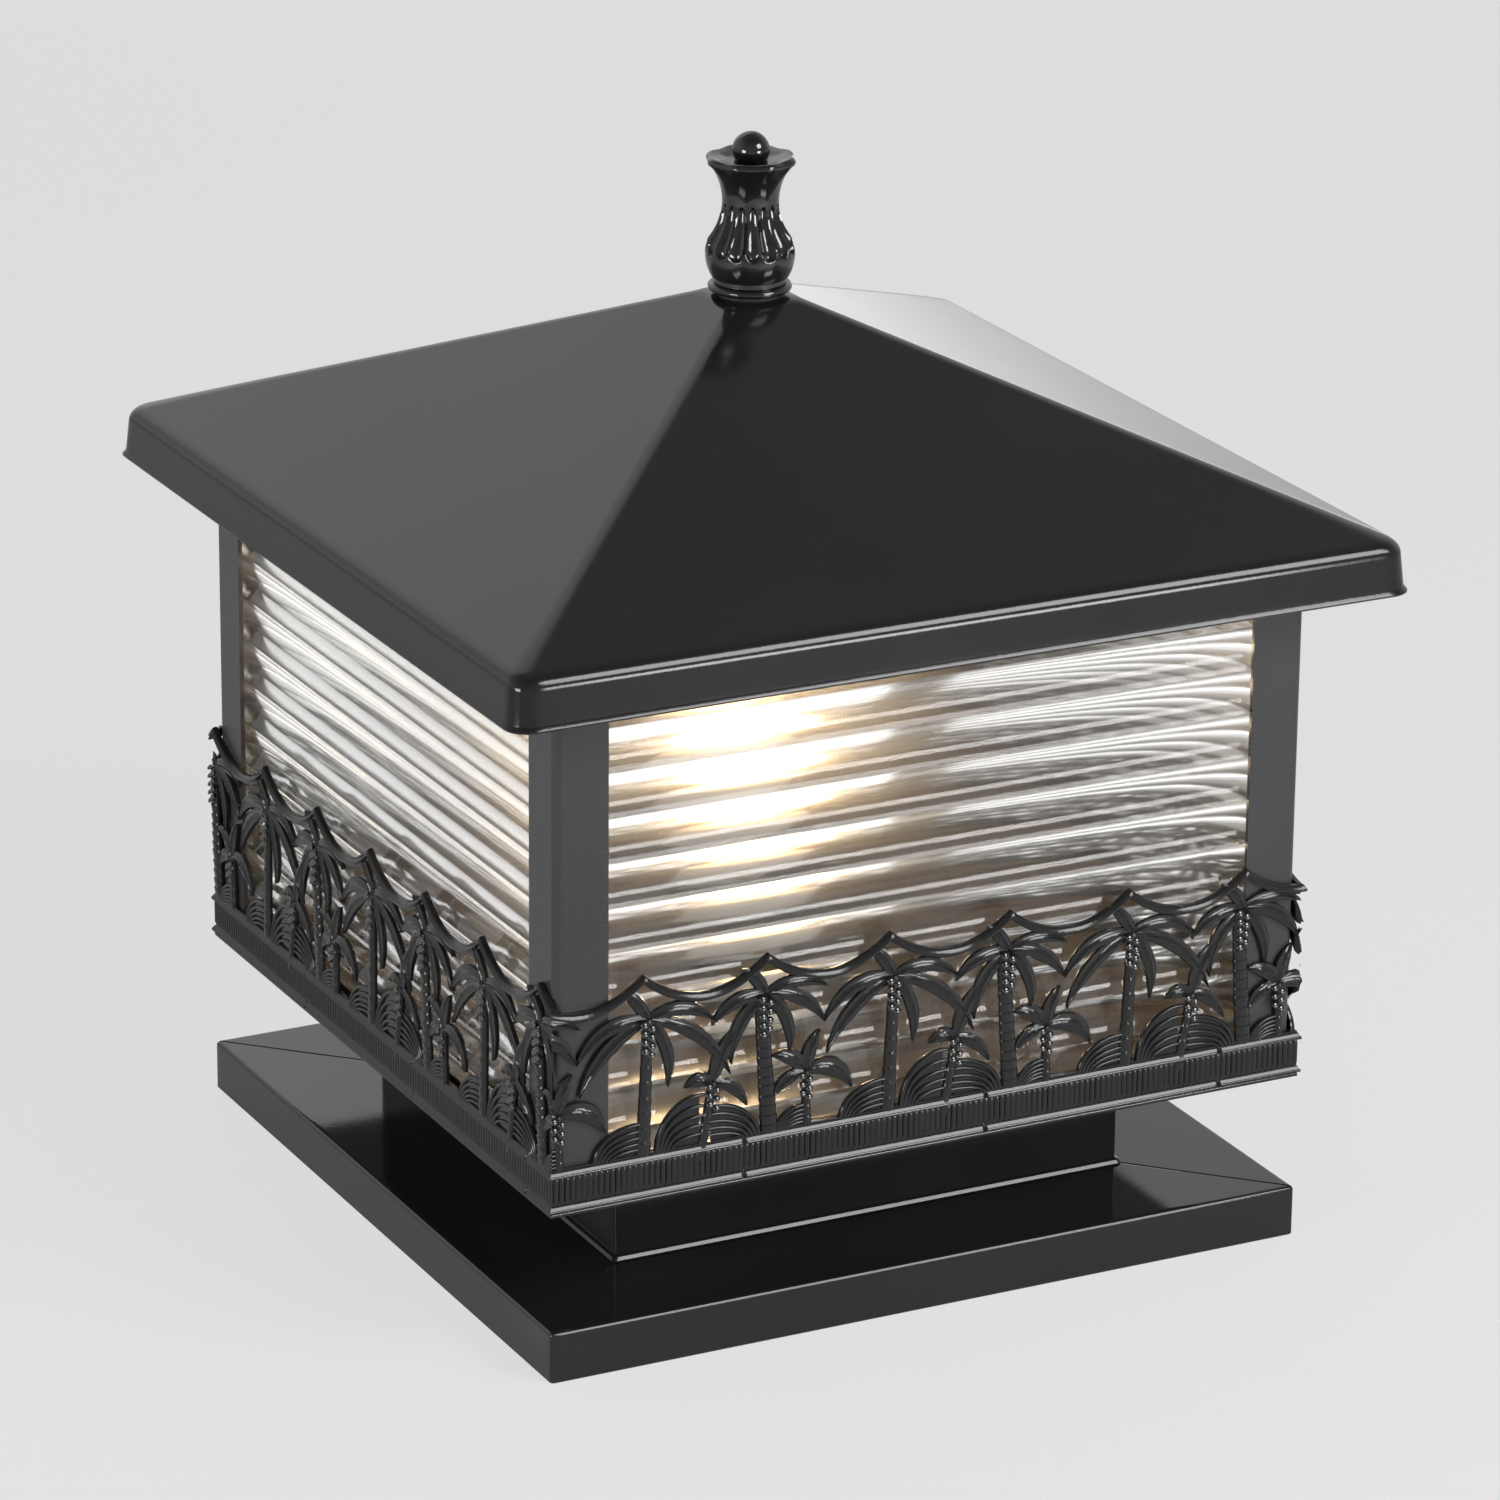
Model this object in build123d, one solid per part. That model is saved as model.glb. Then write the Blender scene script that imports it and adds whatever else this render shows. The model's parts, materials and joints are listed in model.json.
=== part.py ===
from build123d import *
from math import atan, cos, floor
import os

# Pillar lantern. Millimetres, +Z up, origin at the middle of the base's underside.
# The glowing front pane faces -Y.

# Base pan, neck and floor
SHEET = 1.5
BASE_WIDTH = 256.6
BASE_HEIGHT = 16.3
BASE_EDGE = 1.2
NECK_WIDTH = 175.0
NECK_HEIGHT = 37.7
NECK_CORNER = 1.5
NECK_FLANGE = 14.0
NECK_FOOT = 1.6
SPIGOT_DEPTH = 3.0
SPIGOT_PLAY = 0.3
CURB_HEIGHT = 10.0
DRAIN_RADIUS = 2.5
DRAIN_INSET = 12.0

# Mounting plate and the hollow rod that clamps base, neck and floor to it
PLATE_WIDTH = 140.0
PLATE_THICK = 3.0
PLATE_CORNER = 8.0
ANCHOR_SPACING = 110.0
ANCHOR_HOLE_RADIUS = 4.5
ROD_RADIUS = 5.0
ROD_BORE_RADIUS = 3.6
ROD_LIFT = 2.0
THREAD_PLAY = 0.05
HOLE_PLAY = 0.3
BUSH_BORE_RADIUS = 3.0
BUSH_STEM = 6.0
BUSH_FLANGE = 1.4
BUSH_PLAY = 0.05
ROD_NUT_FLATS = 15.0
ROD_NUT_HEIGHT = 5.0
WASHER_RADIUS = 14.0
WASHER_THICK = 1.5
EARTH_SCREW_RADIUS = 2.0
EARTH_SCREW_AT = 40.0
SCREW_HEAD_RADIUS = 3.6
SCREW_HEAD_HEIGHT = 2.4

# Posts, panes and rails
BODY_WIDTH = 251.8
POST_HEIGHT = 177.0
POST_LEG = 17.5
POST_WALL = 1.5
POST_CORNER = 2.5
GLASS_THICK = 4.0
GLASS_PLAY = 0.3
GLASS_CORNER_GAP = 0.8
GLASS_HEAD_GAP = 0.8
FLUTE_PITCH = 14.1
FLUTE_DEPTH = 2.0
FLUTE_LEAD = 4.8
PAD_THICK = 1.5
PAD_LENGTH = 20.0
PAD_SPACING = 150.0
RAIL_DROP = 14.5
RAIL_LEDGE = 12.0

# Frieze of palms: a pierced cast strip that runs on round the corners
FRIEZE_THICK = 3.0
FRIEZE_DROP = 0.5
FRIEZE_BAND = 15.0
FRIEZE_PEAK = 72.0
FRIEZE_SAG = 8.5
FRIEZE_RAIL = 3.2
FRIEZE_STILE = 2.2
PALM_PITCH = 41.0
PALM_GRID = 41
FIRST_PALM = 31.4
FROND_STEPS = 2
FROND_STALK = 0.25
ROOT_SINK = 1.0

# Crossbar and roof stud
BAR_WIDTH = 25.0
BAR_THICK = 3.0
BAR_PLAY = 0.3
BAR_SCREW_RADIUS = 2.0
BAR_NUT_FLATS = 7.0
BAR_NUT_HEIGHT = 3.0
STUD_RADIUS = 4.0
STUD_TAIL = 1.5
STUD_REACH = 10.0
STUD_NUT_FLATS = 13.0
STUD_NUT_HEIGHT = 6.5

# Roof
ROOF_WIDTH = 300.0
ROOF_SHEET = 1.2
ROOF_SLOPE = 0.4255
ROOF_TOP_WIDTH = 23.5
ROOF_HOLE_PLAY = 0.6
LIP_HEIGHT = 14.8
LIP_FLARE = 0.085
LIP_CORNER = 9.0
SHOULDER_RADIUS = 5.5
HEM_HEIGHT = 1.6
HEM_PROUD = 0.7
GASKET_HEIGHT = 4.5
GASKET_WIDTH = 8.0
GASKET_INSET = 0.9
GASKET_PLAY = 0.2

# Finial, collar and rubber washer
RUBBER_RADIUS = 10.0
RUBBER_THICK = 1.5
COLLAR_RADIUS = 13.0
COLLAR_HEIGHT = 2.5
COLLAR_CHAMFER = 0.8
FINIAL_FOOT_RADIUS = 10.8
FINIAL_BELLY_RADIUS = 13.85
FINIAL_BELLY_AT = 8.9
FINIAL_WAIST_RADIUS = 8.75
FINIAL_WAIST_AT = 25.1
FINIAL_CROWN_RADIUS = 14.15
FINIAL_CROWN_AT = 38.6
FINIAL_CROWN_RIM = 1.0
FINIAL_DISH_DEPTH = 3.0
FINIAL_BALL_RADIUS = 5.8
FINIAL_HEIGHT = 47.1
FINIAL_PLAY = 0.2
INSERT_RADIUS = 6.0
INSERT_LENGTH = 18.0
INSERT_PLAY = 0.05

# Lampholder
HOLDER_GAP = 0.3
HOLDER_FOOT_RADIUS = 13.0
HOLDER_RADIUS = 21.5
HOLDER_FOOT_HEIGHT = 8.0
HOLDER_SHOULDER = 6.0
HOLDER_FLOOR = 17.0
HOLDER_HEIGHT = 46.0
HOLDER_RIM = 1.5
ROD_GRIP = 10.0
SHELL_RADIUS = 14.0
SHELL_WALL = 0.6
SHELL_HEIGHT = 25.0
SHELL_SEAT = 5.0
SHELL_PLAY = 0.1
CONTACT_RADIUS = 4.5
CONTACT_HEIGHT = 2.2
TERMINAL_SCREW_RADIUS = 2.5
TERMINAL_SCREW_DEPTH = 4.0
TERMINAL_SCREW_PROUD = 0.8

# Bulb
BULB_GAP = 0.2
BULB_TIP_RADIUS = 4.3
BULB_TIP_HEIGHT = 1.6
INSULATOR_RADIUS = 10.5
INSULATOR_HEIGHT = 4.0
CAP_RADIUS = 13.1
CAP_WALL = 0.5
CAP_HEIGHT = 21.0
CAP_TAPER = 2.5
GLOBE_RADIUS = 22.5
GLOBE_SINK = 4.0
GLOBE_PLAY = 0.1
BULB_LENGTH = 78.0

# Levels, worked up from the pillar's top
base_top = BASE_HEIGHT
floor_under = base_top + NECK_HEIGHT
floor_top = floor_under + SHEET
post_top = floor_top + POST_HEIGHT
rail_top = post_top + SHEET
ledge_top = post_top - RAIL_DROP + SHEET
bar_top = ledge_top + BAR_THICK

# Distances from the axis, worked in from the posts' outer faces
body_half = BODY_WIDTH / 2
glass_face = body_half - POST_WALL - GLASS_PLAY
glass_hollow = glass_face - FLUTE_DEPTH
glass_back = glass_hollow - GLASS_THICK
web_out = glass_back - GLASS_PLAY
web_in = web_out - SHEET
ledge_in = web_in - RAIL_LEDGE
neck_half = NECK_WIDTH / 2
opening_half = neck_half - SHEET - NECK_FLANGE
frieze_half = body_half + FRIEZE_THICK
palm_unit = PALM_PITCH / PALM_GRID
frieze_length = 2 * frieze_half

# Roof planes: the slope is measured from a sharp eave at the lip's outer face
roof_half = ROOF_WIDTH / 2 - HEM_PROUD
slope_drop = ROOF_SHEET / cos(atan(ROOF_SLOPE))
gasket_half = body_half - GASKET_INSET
eave_z = rail_top + GASKET_HEIGHT + slope_drop - ROOF_SLOPE * (roof_half - gasket_half)
lip_bottom = eave_z - LIP_HEIGHT
roof_top = eave_z + ROOF_SLOPE * (roof_half - ROOF_TOP_WIDTH / 2)
finial_foot = roof_top + RUBBER_THICK + COLLAR_HEIGHT + FINIAL_PLAY

# Lamp levels
washer_top = floor_top + WASHER_THICK
clamp_top = washer_top + ROD_NUT_HEIGHT
holder_foot = clamp_top + HOLDER_GAP
holder_seat = holder_foot + HOLDER_FLOOR
bulb_tip = holder_seat + CONTACT_HEIGHT + BULB_GAP

STANDING = (Align.CENTER, Align.CENTER, Align.MIN)
SIDES = ("left", "front", "right", "back")
CORNERS = ("front_left", "front_right", "back_right", "back_left")


def square_block(half, bottom, top):
    """Square block about the axis, from one level to another."""
    return Pos(0, 0, bottom) * Box(2 * half, 2 * half, top - bottom, align=STANDING)


def square_ring(half_out, half_in, bottom, top):
    """Square ring about the axis."""
    return square_block(half_out, bottom, top) - square_block(half_in, bottom, top)


def disc(radius, bottom, top):
    """Round block about the axis."""
    return Pos(0, 0, bottom) * Cylinder(radius, top - bottom, align=STANDING)


def tube(radius_out, radius_in, bottom, top):
    """Round tube about the axis."""
    return disc(radius_out, bottom, top) - disc(radius_in, bottom, top)


def hex_nut(flats, hole_radius, bottom, top):
    """Hexagon nut about the axis, its hole clear of the thread it grips."""
    hexagon = RegularPolygon(flats / 2, 6, major_radius=False)
    return Pos(0, 0, bottom) * extrude(hexagon, top - bottom) - disc(hole_radius, bottom, top)


def turned(points):
    """Solid of revolution about the axis from (radius, height) corners."""
    return revolve(Plane.XZ * make_face(Polyline(*points, close=True)), Axis.Z)


def quarter_turn(shape, count):
    """Shape turned about the axis by quarter turns."""
    return Rot(0, 0, 90 * count) * shape


def base_pan():
    pan = square_block(BASE_WIDTH / 2, 0, base_top)
    edges = pan.edges().filter_by(Axis.Z) + pan.faces().sort_by(Axis.Z)[-1].edges()
    pan = fillet(edges, BASE_EDGE)
    pan -= square_block(BASE_WIDTH / 2 - SHEET, 0, base_top - SHEET)
    return pan - square_block(opening_half, 0, base_top)


def neck():
    """Square tube, flanged inwards at both ends, with a spigot down into the base's opening."""
    shell = square_block(neck_half, base_top, floor_under)
    shell = fillet(shell.edges().filter_by(Axis.Z), NECK_CORNER)
    shell += square_block(neck_half + NECK_FOOT, base_top, base_top + SHEET)
    shell -= square_block(neck_half - SHEET, base_top + SHEET, floor_under - SHEET)
    shell -= square_block(opening_half, base_top, floor_under)
    spigot_half = opening_half - SPIGOT_PLAY
    return shell + neck_spigot(spigot_half)


def neck_spigot(spigot_half):
    """Lip folded down inside the base's opening, carried by the neck's lower flange."""
    lip = square_ring(spigot_half, spigot_half - SHEET, base_top - SPIGOT_DEPTH, base_top + SHEET)
    bridge = square_ring(opening_half, spigot_half - SHEET, base_top, base_top + SHEET)
    return lip + bridge


def floor_tray():
    """Floor plate with a curb inside the panes, a spigot down into the neck and drain holes."""
    tray = square_block(body_half, floor_under, floor_top)
    tray += square_ring(web_out, web_in, floor_top, floor_top + CURB_HEIGHT)
    spigot_half = opening_half - SPIGOT_PLAY
    tray += square_ring(spigot_half, spigot_half - SHEET, floor_under - SPIGOT_DEPTH, floor_under)
    tray -= disc(ROD_RADIUS + HOLE_PLAY, floor_under, floor_top)
    tray -= Pos(EARTH_SCREW_AT, 0) * disc(EARTH_SCREW_RADIUS + THREAD_PLAY, floor_under, floor_top)
    reach = web_in - DRAIN_INSET
    for x, y in ((reach, reach), (-reach, reach), (-reach, -reach), (reach, -reach)):
        tray -= Pos(x, y) * disc(DRAIN_RADIUS, floor_under, floor_top)
    return tray


def mounting_plate():
    plate = extrude(RectangleRounded(PLATE_WIDTH, PLATE_WIDTH, PLATE_CORNER), PLATE_THICK)
    for anchor in GridLocations(ANCHOR_SPACING, ANCHOR_SPACING, 2, 2):
        plate -= anchor * disc(ANCHOR_HOLE_RADIUS, 0, PLATE_THICK)
    return plate - disc(ROD_RADIUS + THREAD_PLAY, 0, PLATE_THICK)


def cable_bush():
    """Plastic bush in the rod's lower end, where the supply cable comes in."""
    flange = tube(ROD_RADIUS - BUSH_PLAY, BUSH_BORE_RADIUS, ROD_LIFT - BUSH_FLANGE, ROD_LIFT)
    stem = tube(ROD_BORE_RADIUS - BUSH_PLAY, BUSH_BORE_RADIUS, ROD_LIFT, ROD_LIFT + BUSH_STEM)
    return flange + stem


def screw(radius, length):
    """Pan-head screw, head up, its head's underside at the origin."""
    head = disc(SCREW_HEAD_RADIUS, 0, SCREW_HEAD_HEIGHT)
    return head + disc(radius, -length, 0)


def corner_post():
    """Angle post at the front left corner, its legs behind the two neighbouring friezes."""
    low = (Align.MIN, Align.MIN)
    section = Rectangle(POST_LEG, POST_LEG, align=low)
    section -= Pos(POST_WALL, POST_WALL) * Rectangle(POST_LEG, POST_LEG, align=low)
    section = fillet(section.vertices().sort_by_distance((0, 0))[0], POST_CORNER)
    return Pos(-body_half, -body_half, floor_top) * extrude(section, POST_HEIGHT)


def glass_pane():
    """Front pane: flat inside; outside, level hollow flutes meet in sharp ridges."""
    foot = floor_top + PAD_THICK
    head = post_top - GLASS_HEAD_GAP
    first = foot + FLUTE_LEAD
    count = floor((head - first) / FLUTE_PITCH)
    last = first + count * FLUTE_PITCH
    flat = Polyline((glass_face, last), (glass_face, head), (glass_back, head), (glass_back, foot),
                    (glass_face, foot), (glass_face, first))
    flutes = []
    for flute in range(count):
        low = first + flute * FLUTE_PITCH
        middle = (glass_hollow, low + FLUTE_PITCH / 2)
        flutes.append(ThreePointArc((glass_face, low), middle, (glass_face, low + FLUTE_PITCH)))
    width = 2 * (glass_back - GLASS_CORNER_GAP)
    section = Plane((-width / 2, 0, 0), x_dir=(0, -1, 0), z_dir=(-1, 0, 0)) * make_face(flat + flutes)
    return extrude(section, width, dir=(1, 0, 0))


def glass_pads():
    """Soft pads under the panes, two to a side."""
    pads = []
    depth = glass_face - glass_back
    for count in range(4):
        for x in (-PAD_SPACING / 2, PAD_SPACING / 2):
            pad = Pos(x, -(glass_face + glass_back) / 2, floor_top + PAD_THICK / 2)
            pads.append(quarter_turn(pad * Box(PAD_LENGTH, depth, PAD_THICK), count))
    return Compound(children=pads)


def top_rail():
    """Front rail: flange over post tops and pane, web behind the pane, ledge for the crossbar."""
    rail = square_ring(body_half, web_in, post_top, rail_top)
    rail += square_ring(web_out, web_in, ledge_top - SHEET, post_top)
    rail += square_ring(web_out, ledge_in, ledge_top - SHEET, ledge_top)
    mitre = Polyline((0, 0), (-body_half, -body_half), (body_half, -body_half), close=True)
    return rail & Pos(0, 0, ledge_top - SHEET) * extrude(make_face(mitre), rail_top - ledge_top + SHEET)


def frond(root, tip, bow, width):
    """Leaf about a midrib that bows sideways as a parabola; broad in the middle, pointed at its tip."""
    root = Vector(*root) * palm_unit
    rib = Vector(*tip) * palm_unit - root
    side = Vector(-rib.Y, rib.X).normalized()
    left = []
    right = []
    for step in range(FROND_STEPS):
        along = step / FROND_STEPS
        middle = root + rib * along + side * (4 * bow * palm_unit * along * (1 - along))
        half = side * (width * palm_unit * (FROND_STALK + along * (1 - along)))
        left.append(middle + half)
        right.append(middle - half)
    return make_face(Polyline(*left, root + rib, *reversed(right), close=True))


def trunk(foot_at, crown, foot_width, crown_width):
    """Tapering trunk from the foot band to its crown."""
    foot = FRIEZE_BAND - ROOT_SINK
    at = foot_at * palm_unit
    x, y = crown[0] * palm_unit, crown[1] * palm_unit
    foot_half = foot_width * palm_unit / 2
    crown_half = crown_width * palm_unit / 2
    corners = ((at - foot_half, foot), (at + foot_half, foot), (x + crown_half, y), (x - crown_half, y))
    return make_face(Polyline(*corners, close=True))


def shrub(left, right, top):
    """Low dome of leaves standing on the foot band."""
    foot = FRIEZE_BAND - ROOT_SINK
    near, far, peak = left * palm_unit, right * palm_unit, top * palm_unit
    dome = ThreePointArc((near, foot), ((near + far) / 2, peak), (far, foot))
    return make_face(dome + Line((far, foot), (near, foot)))


def palm_pair():
    """One repeat of the strip: a slim palm, a stout palm, two young palms and three shrubs.

    The numbers are units of the drawing, PALM_GRID to a pitch, from the slim palm's foot and the
    strip's lower edge.
    """
    crown_a = (1.5, 57.5)
    crown_b = (40.5, 59.0)
    crown_c = (23.0, 34.0)
    crown_d = (54.0, 32.0)
    slim = [
        trunk(0, crown_a, 5.0, 3.6),
        frond(crown_a, (-22.0, 47.0), -4.5, 5.0),
        frond(crown_a, (-21.0, 36.5), -3.5, 5.0),
        frond(crown_a, (24.0, 53.0), 4.0, 5.0),
        frond(crown_a, (29.0, 35.0), 4.5, 5.0),
        frond(crown_a, (8.0, 35.0), 3.0, 4.5),
        frond(crown_a, (-7.0, 67.5), -1.0, 4.5),
    ]
    stout = [
        trunk(42.0, (38.8, 58.0), 5.8, 4.4),
        frond(crown_b, (22.5, 52.0), -3.0, 5.0),
        frond(crown_b, (29.0, 38.5), -3.5, 5.0),
        frond(crown_b, (32.5, 68.0), -1.0, 4.5),
        frond(crown_b, (61.5, 58.0), 3.0, 4.5),
        frond(crown_b, (60.5, 46.5), 3.5, 5.0),
        frond(crown_b, (48.5, 39.0), 3.0, 4.5),
    ]
    young = [
        trunk(18.8, crown_c, 3.2, 2.6),
        frond(crown_c, (13.5, 33.5), -1.5, 5.0),
        frond(crown_c, (30.5, 50.0), 1.0, 5.5),
        frond(crown_c, (34.5, 24.0), 2.0, 4.5),
        trunk(54.5, crown_d, 3.0, 2.6),
        frond(crown_d, (42.5, 38.5), -2.0, 5.5),
        frond(crown_d, (43.0, 25.0), -2.0, 4.5),
        frond(crown_d, (69.6, 23.6), 4.0, 6.5),
        frond(crown_d, (58.5, 44.5), 1.0, 5.0),
    ]
    shrubs = [shrub(2.5, 20.0, 29.5), shrub(22.5, 39.0, 24.5), shrub(67.0, 79.0, 24.5)]
    return Sketch() + slim + stout + young + shrubs


def swag():
    """One sagging length of the strip's top rail, from peak to peak."""
    low = FRIEZE_PEAK - FRIEZE_SAG
    upper = ThreePointArc((0, FRIEZE_PEAK), (PALM_PITCH / 2, low), (PALM_PITCH, FRIEZE_PEAK))
    drop = FRIEZE_PEAK - FRIEZE_RAIL
    lower = ThreePointArc((0, drop), (PALM_PITCH / 2, low - FRIEZE_RAIL), (PALM_PITCH, drop))
    ends = [Line((0, FRIEZE_PEAK), (0, drop)), Line((PALM_PITCH, FRIEZE_PEAK), (PALM_PITCH, drop))]
    return make_face(upper + lower + ends)


def palm_frieze(repeat, side):
    """One side's length of the strip, cut from the running pattern and mitred at both ends."""
    start = FIRST_PALM - side * frieze_length
    period = 2 * PALM_PITCH
    first = floor(-start / period) - 1
    palms = []
    for count in range(first, first + floor(frieze_length / period) + 4):
        at = start + count * period
        palms += [Pos(at, 0) * repeat, Pos(at, 0) * swag(), Pos(at + PALM_PITCH, 0) * swag()]
    low = (Align.MIN, Align.MIN)
    stile = Rectangle(FRIEZE_STILE + FRIEZE_THICK, FRIEZE_PEAK - FRIEZE_SAG - FRIEZE_RAIL / 2, align=low)
    far_end = Pos(frieze_length - FRIEZE_STILE - FRIEZE_THICK, 0)
    field = Rectangle(frieze_length, FRIEZE_PEAK, align=low)
    strip = Sketch() + palms + [Rectangle(frieze_length, FRIEZE_BAND, align=low), stile, far_end * stile]
    face = Plane((-frieze_half, -body_half, floor_under - FRIEZE_DROP), x_dir=(1, 0, 0), z_dir=(0, -1, 0))
    panel = extrude(face * (strip & field), FRIEZE_THICK, dir=(0, -1, 0))
    mitre = Polyline((0, 0), (-frieze_half, -frieze_half), (frieze_half, -frieze_half), close=True)
    wedge = Pos(0, 0, floor_under - FRIEZE_DROP) * extrude(make_face(mitre), FRIEZE_PEAK)
    return quarter_turn(panel & wedge, side)


def crossbar():
    """Flat strap across two rails' ledges, with the stud's hole in its middle."""
    length = 2 * (web_in - BAR_PLAY)
    bar = Pos(0, 0, ledge_top) * Box(length, BAR_WIDTH, BAR_THICK, align=STANDING)
    return bar - disc(STUD_RADIUS + HOLE_PLAY, ledge_top, bar_top)


def bar_screw_places():
    """Middle of the ledge at each end of the crossbar."""
    middle = (web_in + ledge_in) / 2
    return [Pos(-middle, 0), Pos(middle, 0)]


def bar_screw_holes(shape):
    """Shape with a clearance hole for each crossbar screw."""
    for place in bar_screw_places():
        shape -= place * disc(BAR_SCREW_RADIUS + HOLE_PLAY, ledge_top - SHEET, bar_top)
    return shape


def bar_screws():
    """Two screws through crossbar and ledges."""
    length = BAR_THICK + SHEET + BAR_NUT_HEIGHT
    return Compound(children=[place * Pos(0, 0, bar_top) * screw(BAR_SCREW_RADIUS, length)
                              for place in bar_screw_places()])


def bar_nuts():
    """Nuts of the crossbar screws, under the ledges."""
    top = ledge_top - SHEET
    nut = hex_nut(BAR_NUT_FLATS, BAR_SCREW_RADIUS + THREAD_PLAY, top - BAR_NUT_HEIGHT, top)
    return Compound(children=[place * nut for place in bar_screw_places()])


def stud_nuts():
    """Two nuts that lock the stud to the crossbar, one above and one below."""
    hole = STUD_RADIUS + THREAD_PLAY
    upper = hex_nut(STUD_NUT_FLATS, hole, bar_top, bar_top + STUD_NUT_HEIGHT)
    lower = hex_nut(STUD_NUT_FLATS, hole, ledge_top - STUD_NUT_HEIGHT, ledge_top)
    return Compound(children=[upper, lower])


def roof_form(inset):
    """Hipped canopy, solid: two crossing prisms of one section, rounded at the lip's corners.

    The section has a flared lip, a round shoulder and two slopes. The inset gives the inner form.
    """
    drop = inset / cos(atan(ROOF_SLOPE))
    half = roof_half - inset
    rise = (LIP_HEIGHT - drop + ROOF_SLOPE * inset) / (1 - ROOF_SLOPE * LIP_FLARE)
    shoulder_half = half - LIP_FLARE * rise
    top = roof_top - inset
    top_half = roof_half - (top - eave_z + drop) / ROOF_SLOPE
    corners = ((half, lip_bottom), (shoulder_half, lip_bottom + rise), (top_half, top),
               (-top_half, top), (-shoulder_half, lip_bottom + rise), (-half, lip_bottom))
    section = make_face(Polyline(*corners, close=True))
    bends = section.vertices().filter_by_position(Axis.Y, lip_bottom + rise, lip_bottom + rise)
    section = fillet(bends, SHOULDER_RADIUS - inset)
    along_y = extrude(Plane.XZ * section, half, both=True)
    plan = RectangleRounded(2 * half, 2 * half, LIP_CORNER - inset)
    return along_y & quarter_turn(along_y, 1) & Pos(0, 0, lip_bottom) * extrude(plan, roof_top - lip_bottom)


def roof_shell():
    shell = roof_form(0) - roof_form(ROOF_SHEET)
    outer = RectangleRounded(ROOF_WIDTH, ROOF_WIDTH, LIP_CORNER + HEM_PROUD)
    inner_width = 2 * roof_half - ROOF_SHEET
    inner = RectangleRounded(inner_width, inner_width, LIP_CORNER - ROOF_SHEET / 2)
    shell += Pos(0, 0, lip_bottom) * extrude(outer - inner, HEM_HEIGHT)
    return shell - disc(STUD_RADIUS + ROOF_HOLE_PLAY, lip_bottom, roof_top)


def roof_gasket():
    """Soft square seal on the rails, its top sloped to the roof's underside."""
    ring = square_ring(gasket_half, gasket_half - GASKET_WIDTH, rail_top, roof_top)
    return ring & Pos(0, 0, -GASKET_PLAY) * roof_form(ROOF_SHEET)


def roof_collar():
    """Turned ring under the finial, chamfered at its edge."""
    low = roof_top + RUBBER_THICK
    high = low + COLLAR_HEIGHT
    hole = STUD_RADIUS + ROOF_HOLE_PLAY
    edge = COLLAR_RADIUS - COLLAR_CHAMFER
    return turned(((hole, low), (edge, low), (COLLAR_RADIUS, low + COLLAR_CHAMFER),
                   (COLLAR_RADIUS, high - COLLAR_CHAMFER), (edge, high), (hole, high)))


def finial_inflection():
    """Point where the belly's arc runs into the waist's, both upright at their widest and narrowest.

    The waist's radius follows from the crown's rim, and the two arcs' centres lie their radii apart.
    """
    rise = FINIAL_CROWN_AT - FINIAL_WAIST_AT
    flare = FINIAL_CROWN_RADIUS - FINIAL_WAIST_RADIUS
    waist_bend = (flare ** 2 + rise ** 2) / (2 * flare)
    climb = FINIAL_WAIST_AT - FINIAL_BELLY_AT
    step = FINIAL_BELLY_RADIUS - FINIAL_WAIST_RADIUS
    both_bends = (climb ** 2 + step ** 2) / (2 * step)
    share = (both_bends - waist_bend) / both_bends
    belly_bend = both_bends - waist_bend
    middle = FINIAL_BELLY_RADIUS - belly_bend
    return (middle + share * (both_bends - step), finial_foot + FINIAL_BELLY_AT + share * climb)


def finial():
    """Cast vase: belly, waist, dished crown and a ball on top, bored from below for its insert."""
    foot = finial_foot
    ball_z = foot + FINIAL_HEIGHT - FINIAL_BALL_RADIUS
    rim = foot + FINIAL_CROWN_AT
    belly = (FINIAL_BELLY_RADIUS, foot + FINIAL_BELLY_AT)
    inflection = finial_inflection()
    lower = TangentArc(belly, (FINIAL_FOOT_RADIUS, foot), tangent=(0, -1))
    upper = TangentArc(belly, inflection, tangent=(0, 1))
    side = lower + upper + TangentArc(inflection, (FINIAL_CROWN_RADIUS, rim), tangent=upper % 1)
    lip_top = rim + FINIAL_CROWN_RIM
    dish = lip_top - FINIAL_DISH_DEPTH
    rest = Polyline((FINIAL_CROWN_RADIUS, rim), (FINIAL_CROWN_RADIUS, lip_top),
                    (FINIAL_CROWN_RADIUS - FINIAL_CROWN_RIM, lip_top), (FINIAL_BALL_RADIUS / 2, dish),
                    (0, dish), (0, foot), (FINIAL_FOOT_RADIUS, foot))
    vase = revolve(Plane.XZ * make_face(side + rest), Axis.Z)
    vase += Pos(0, 0, ball_z) * Sphere(FINIAL_BALL_RADIUS)
    return vase - disc(INSERT_RADIUS + INSERT_PLAY, foot, foot + INSERT_LENGTH + INSERT_PLAY)


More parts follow.
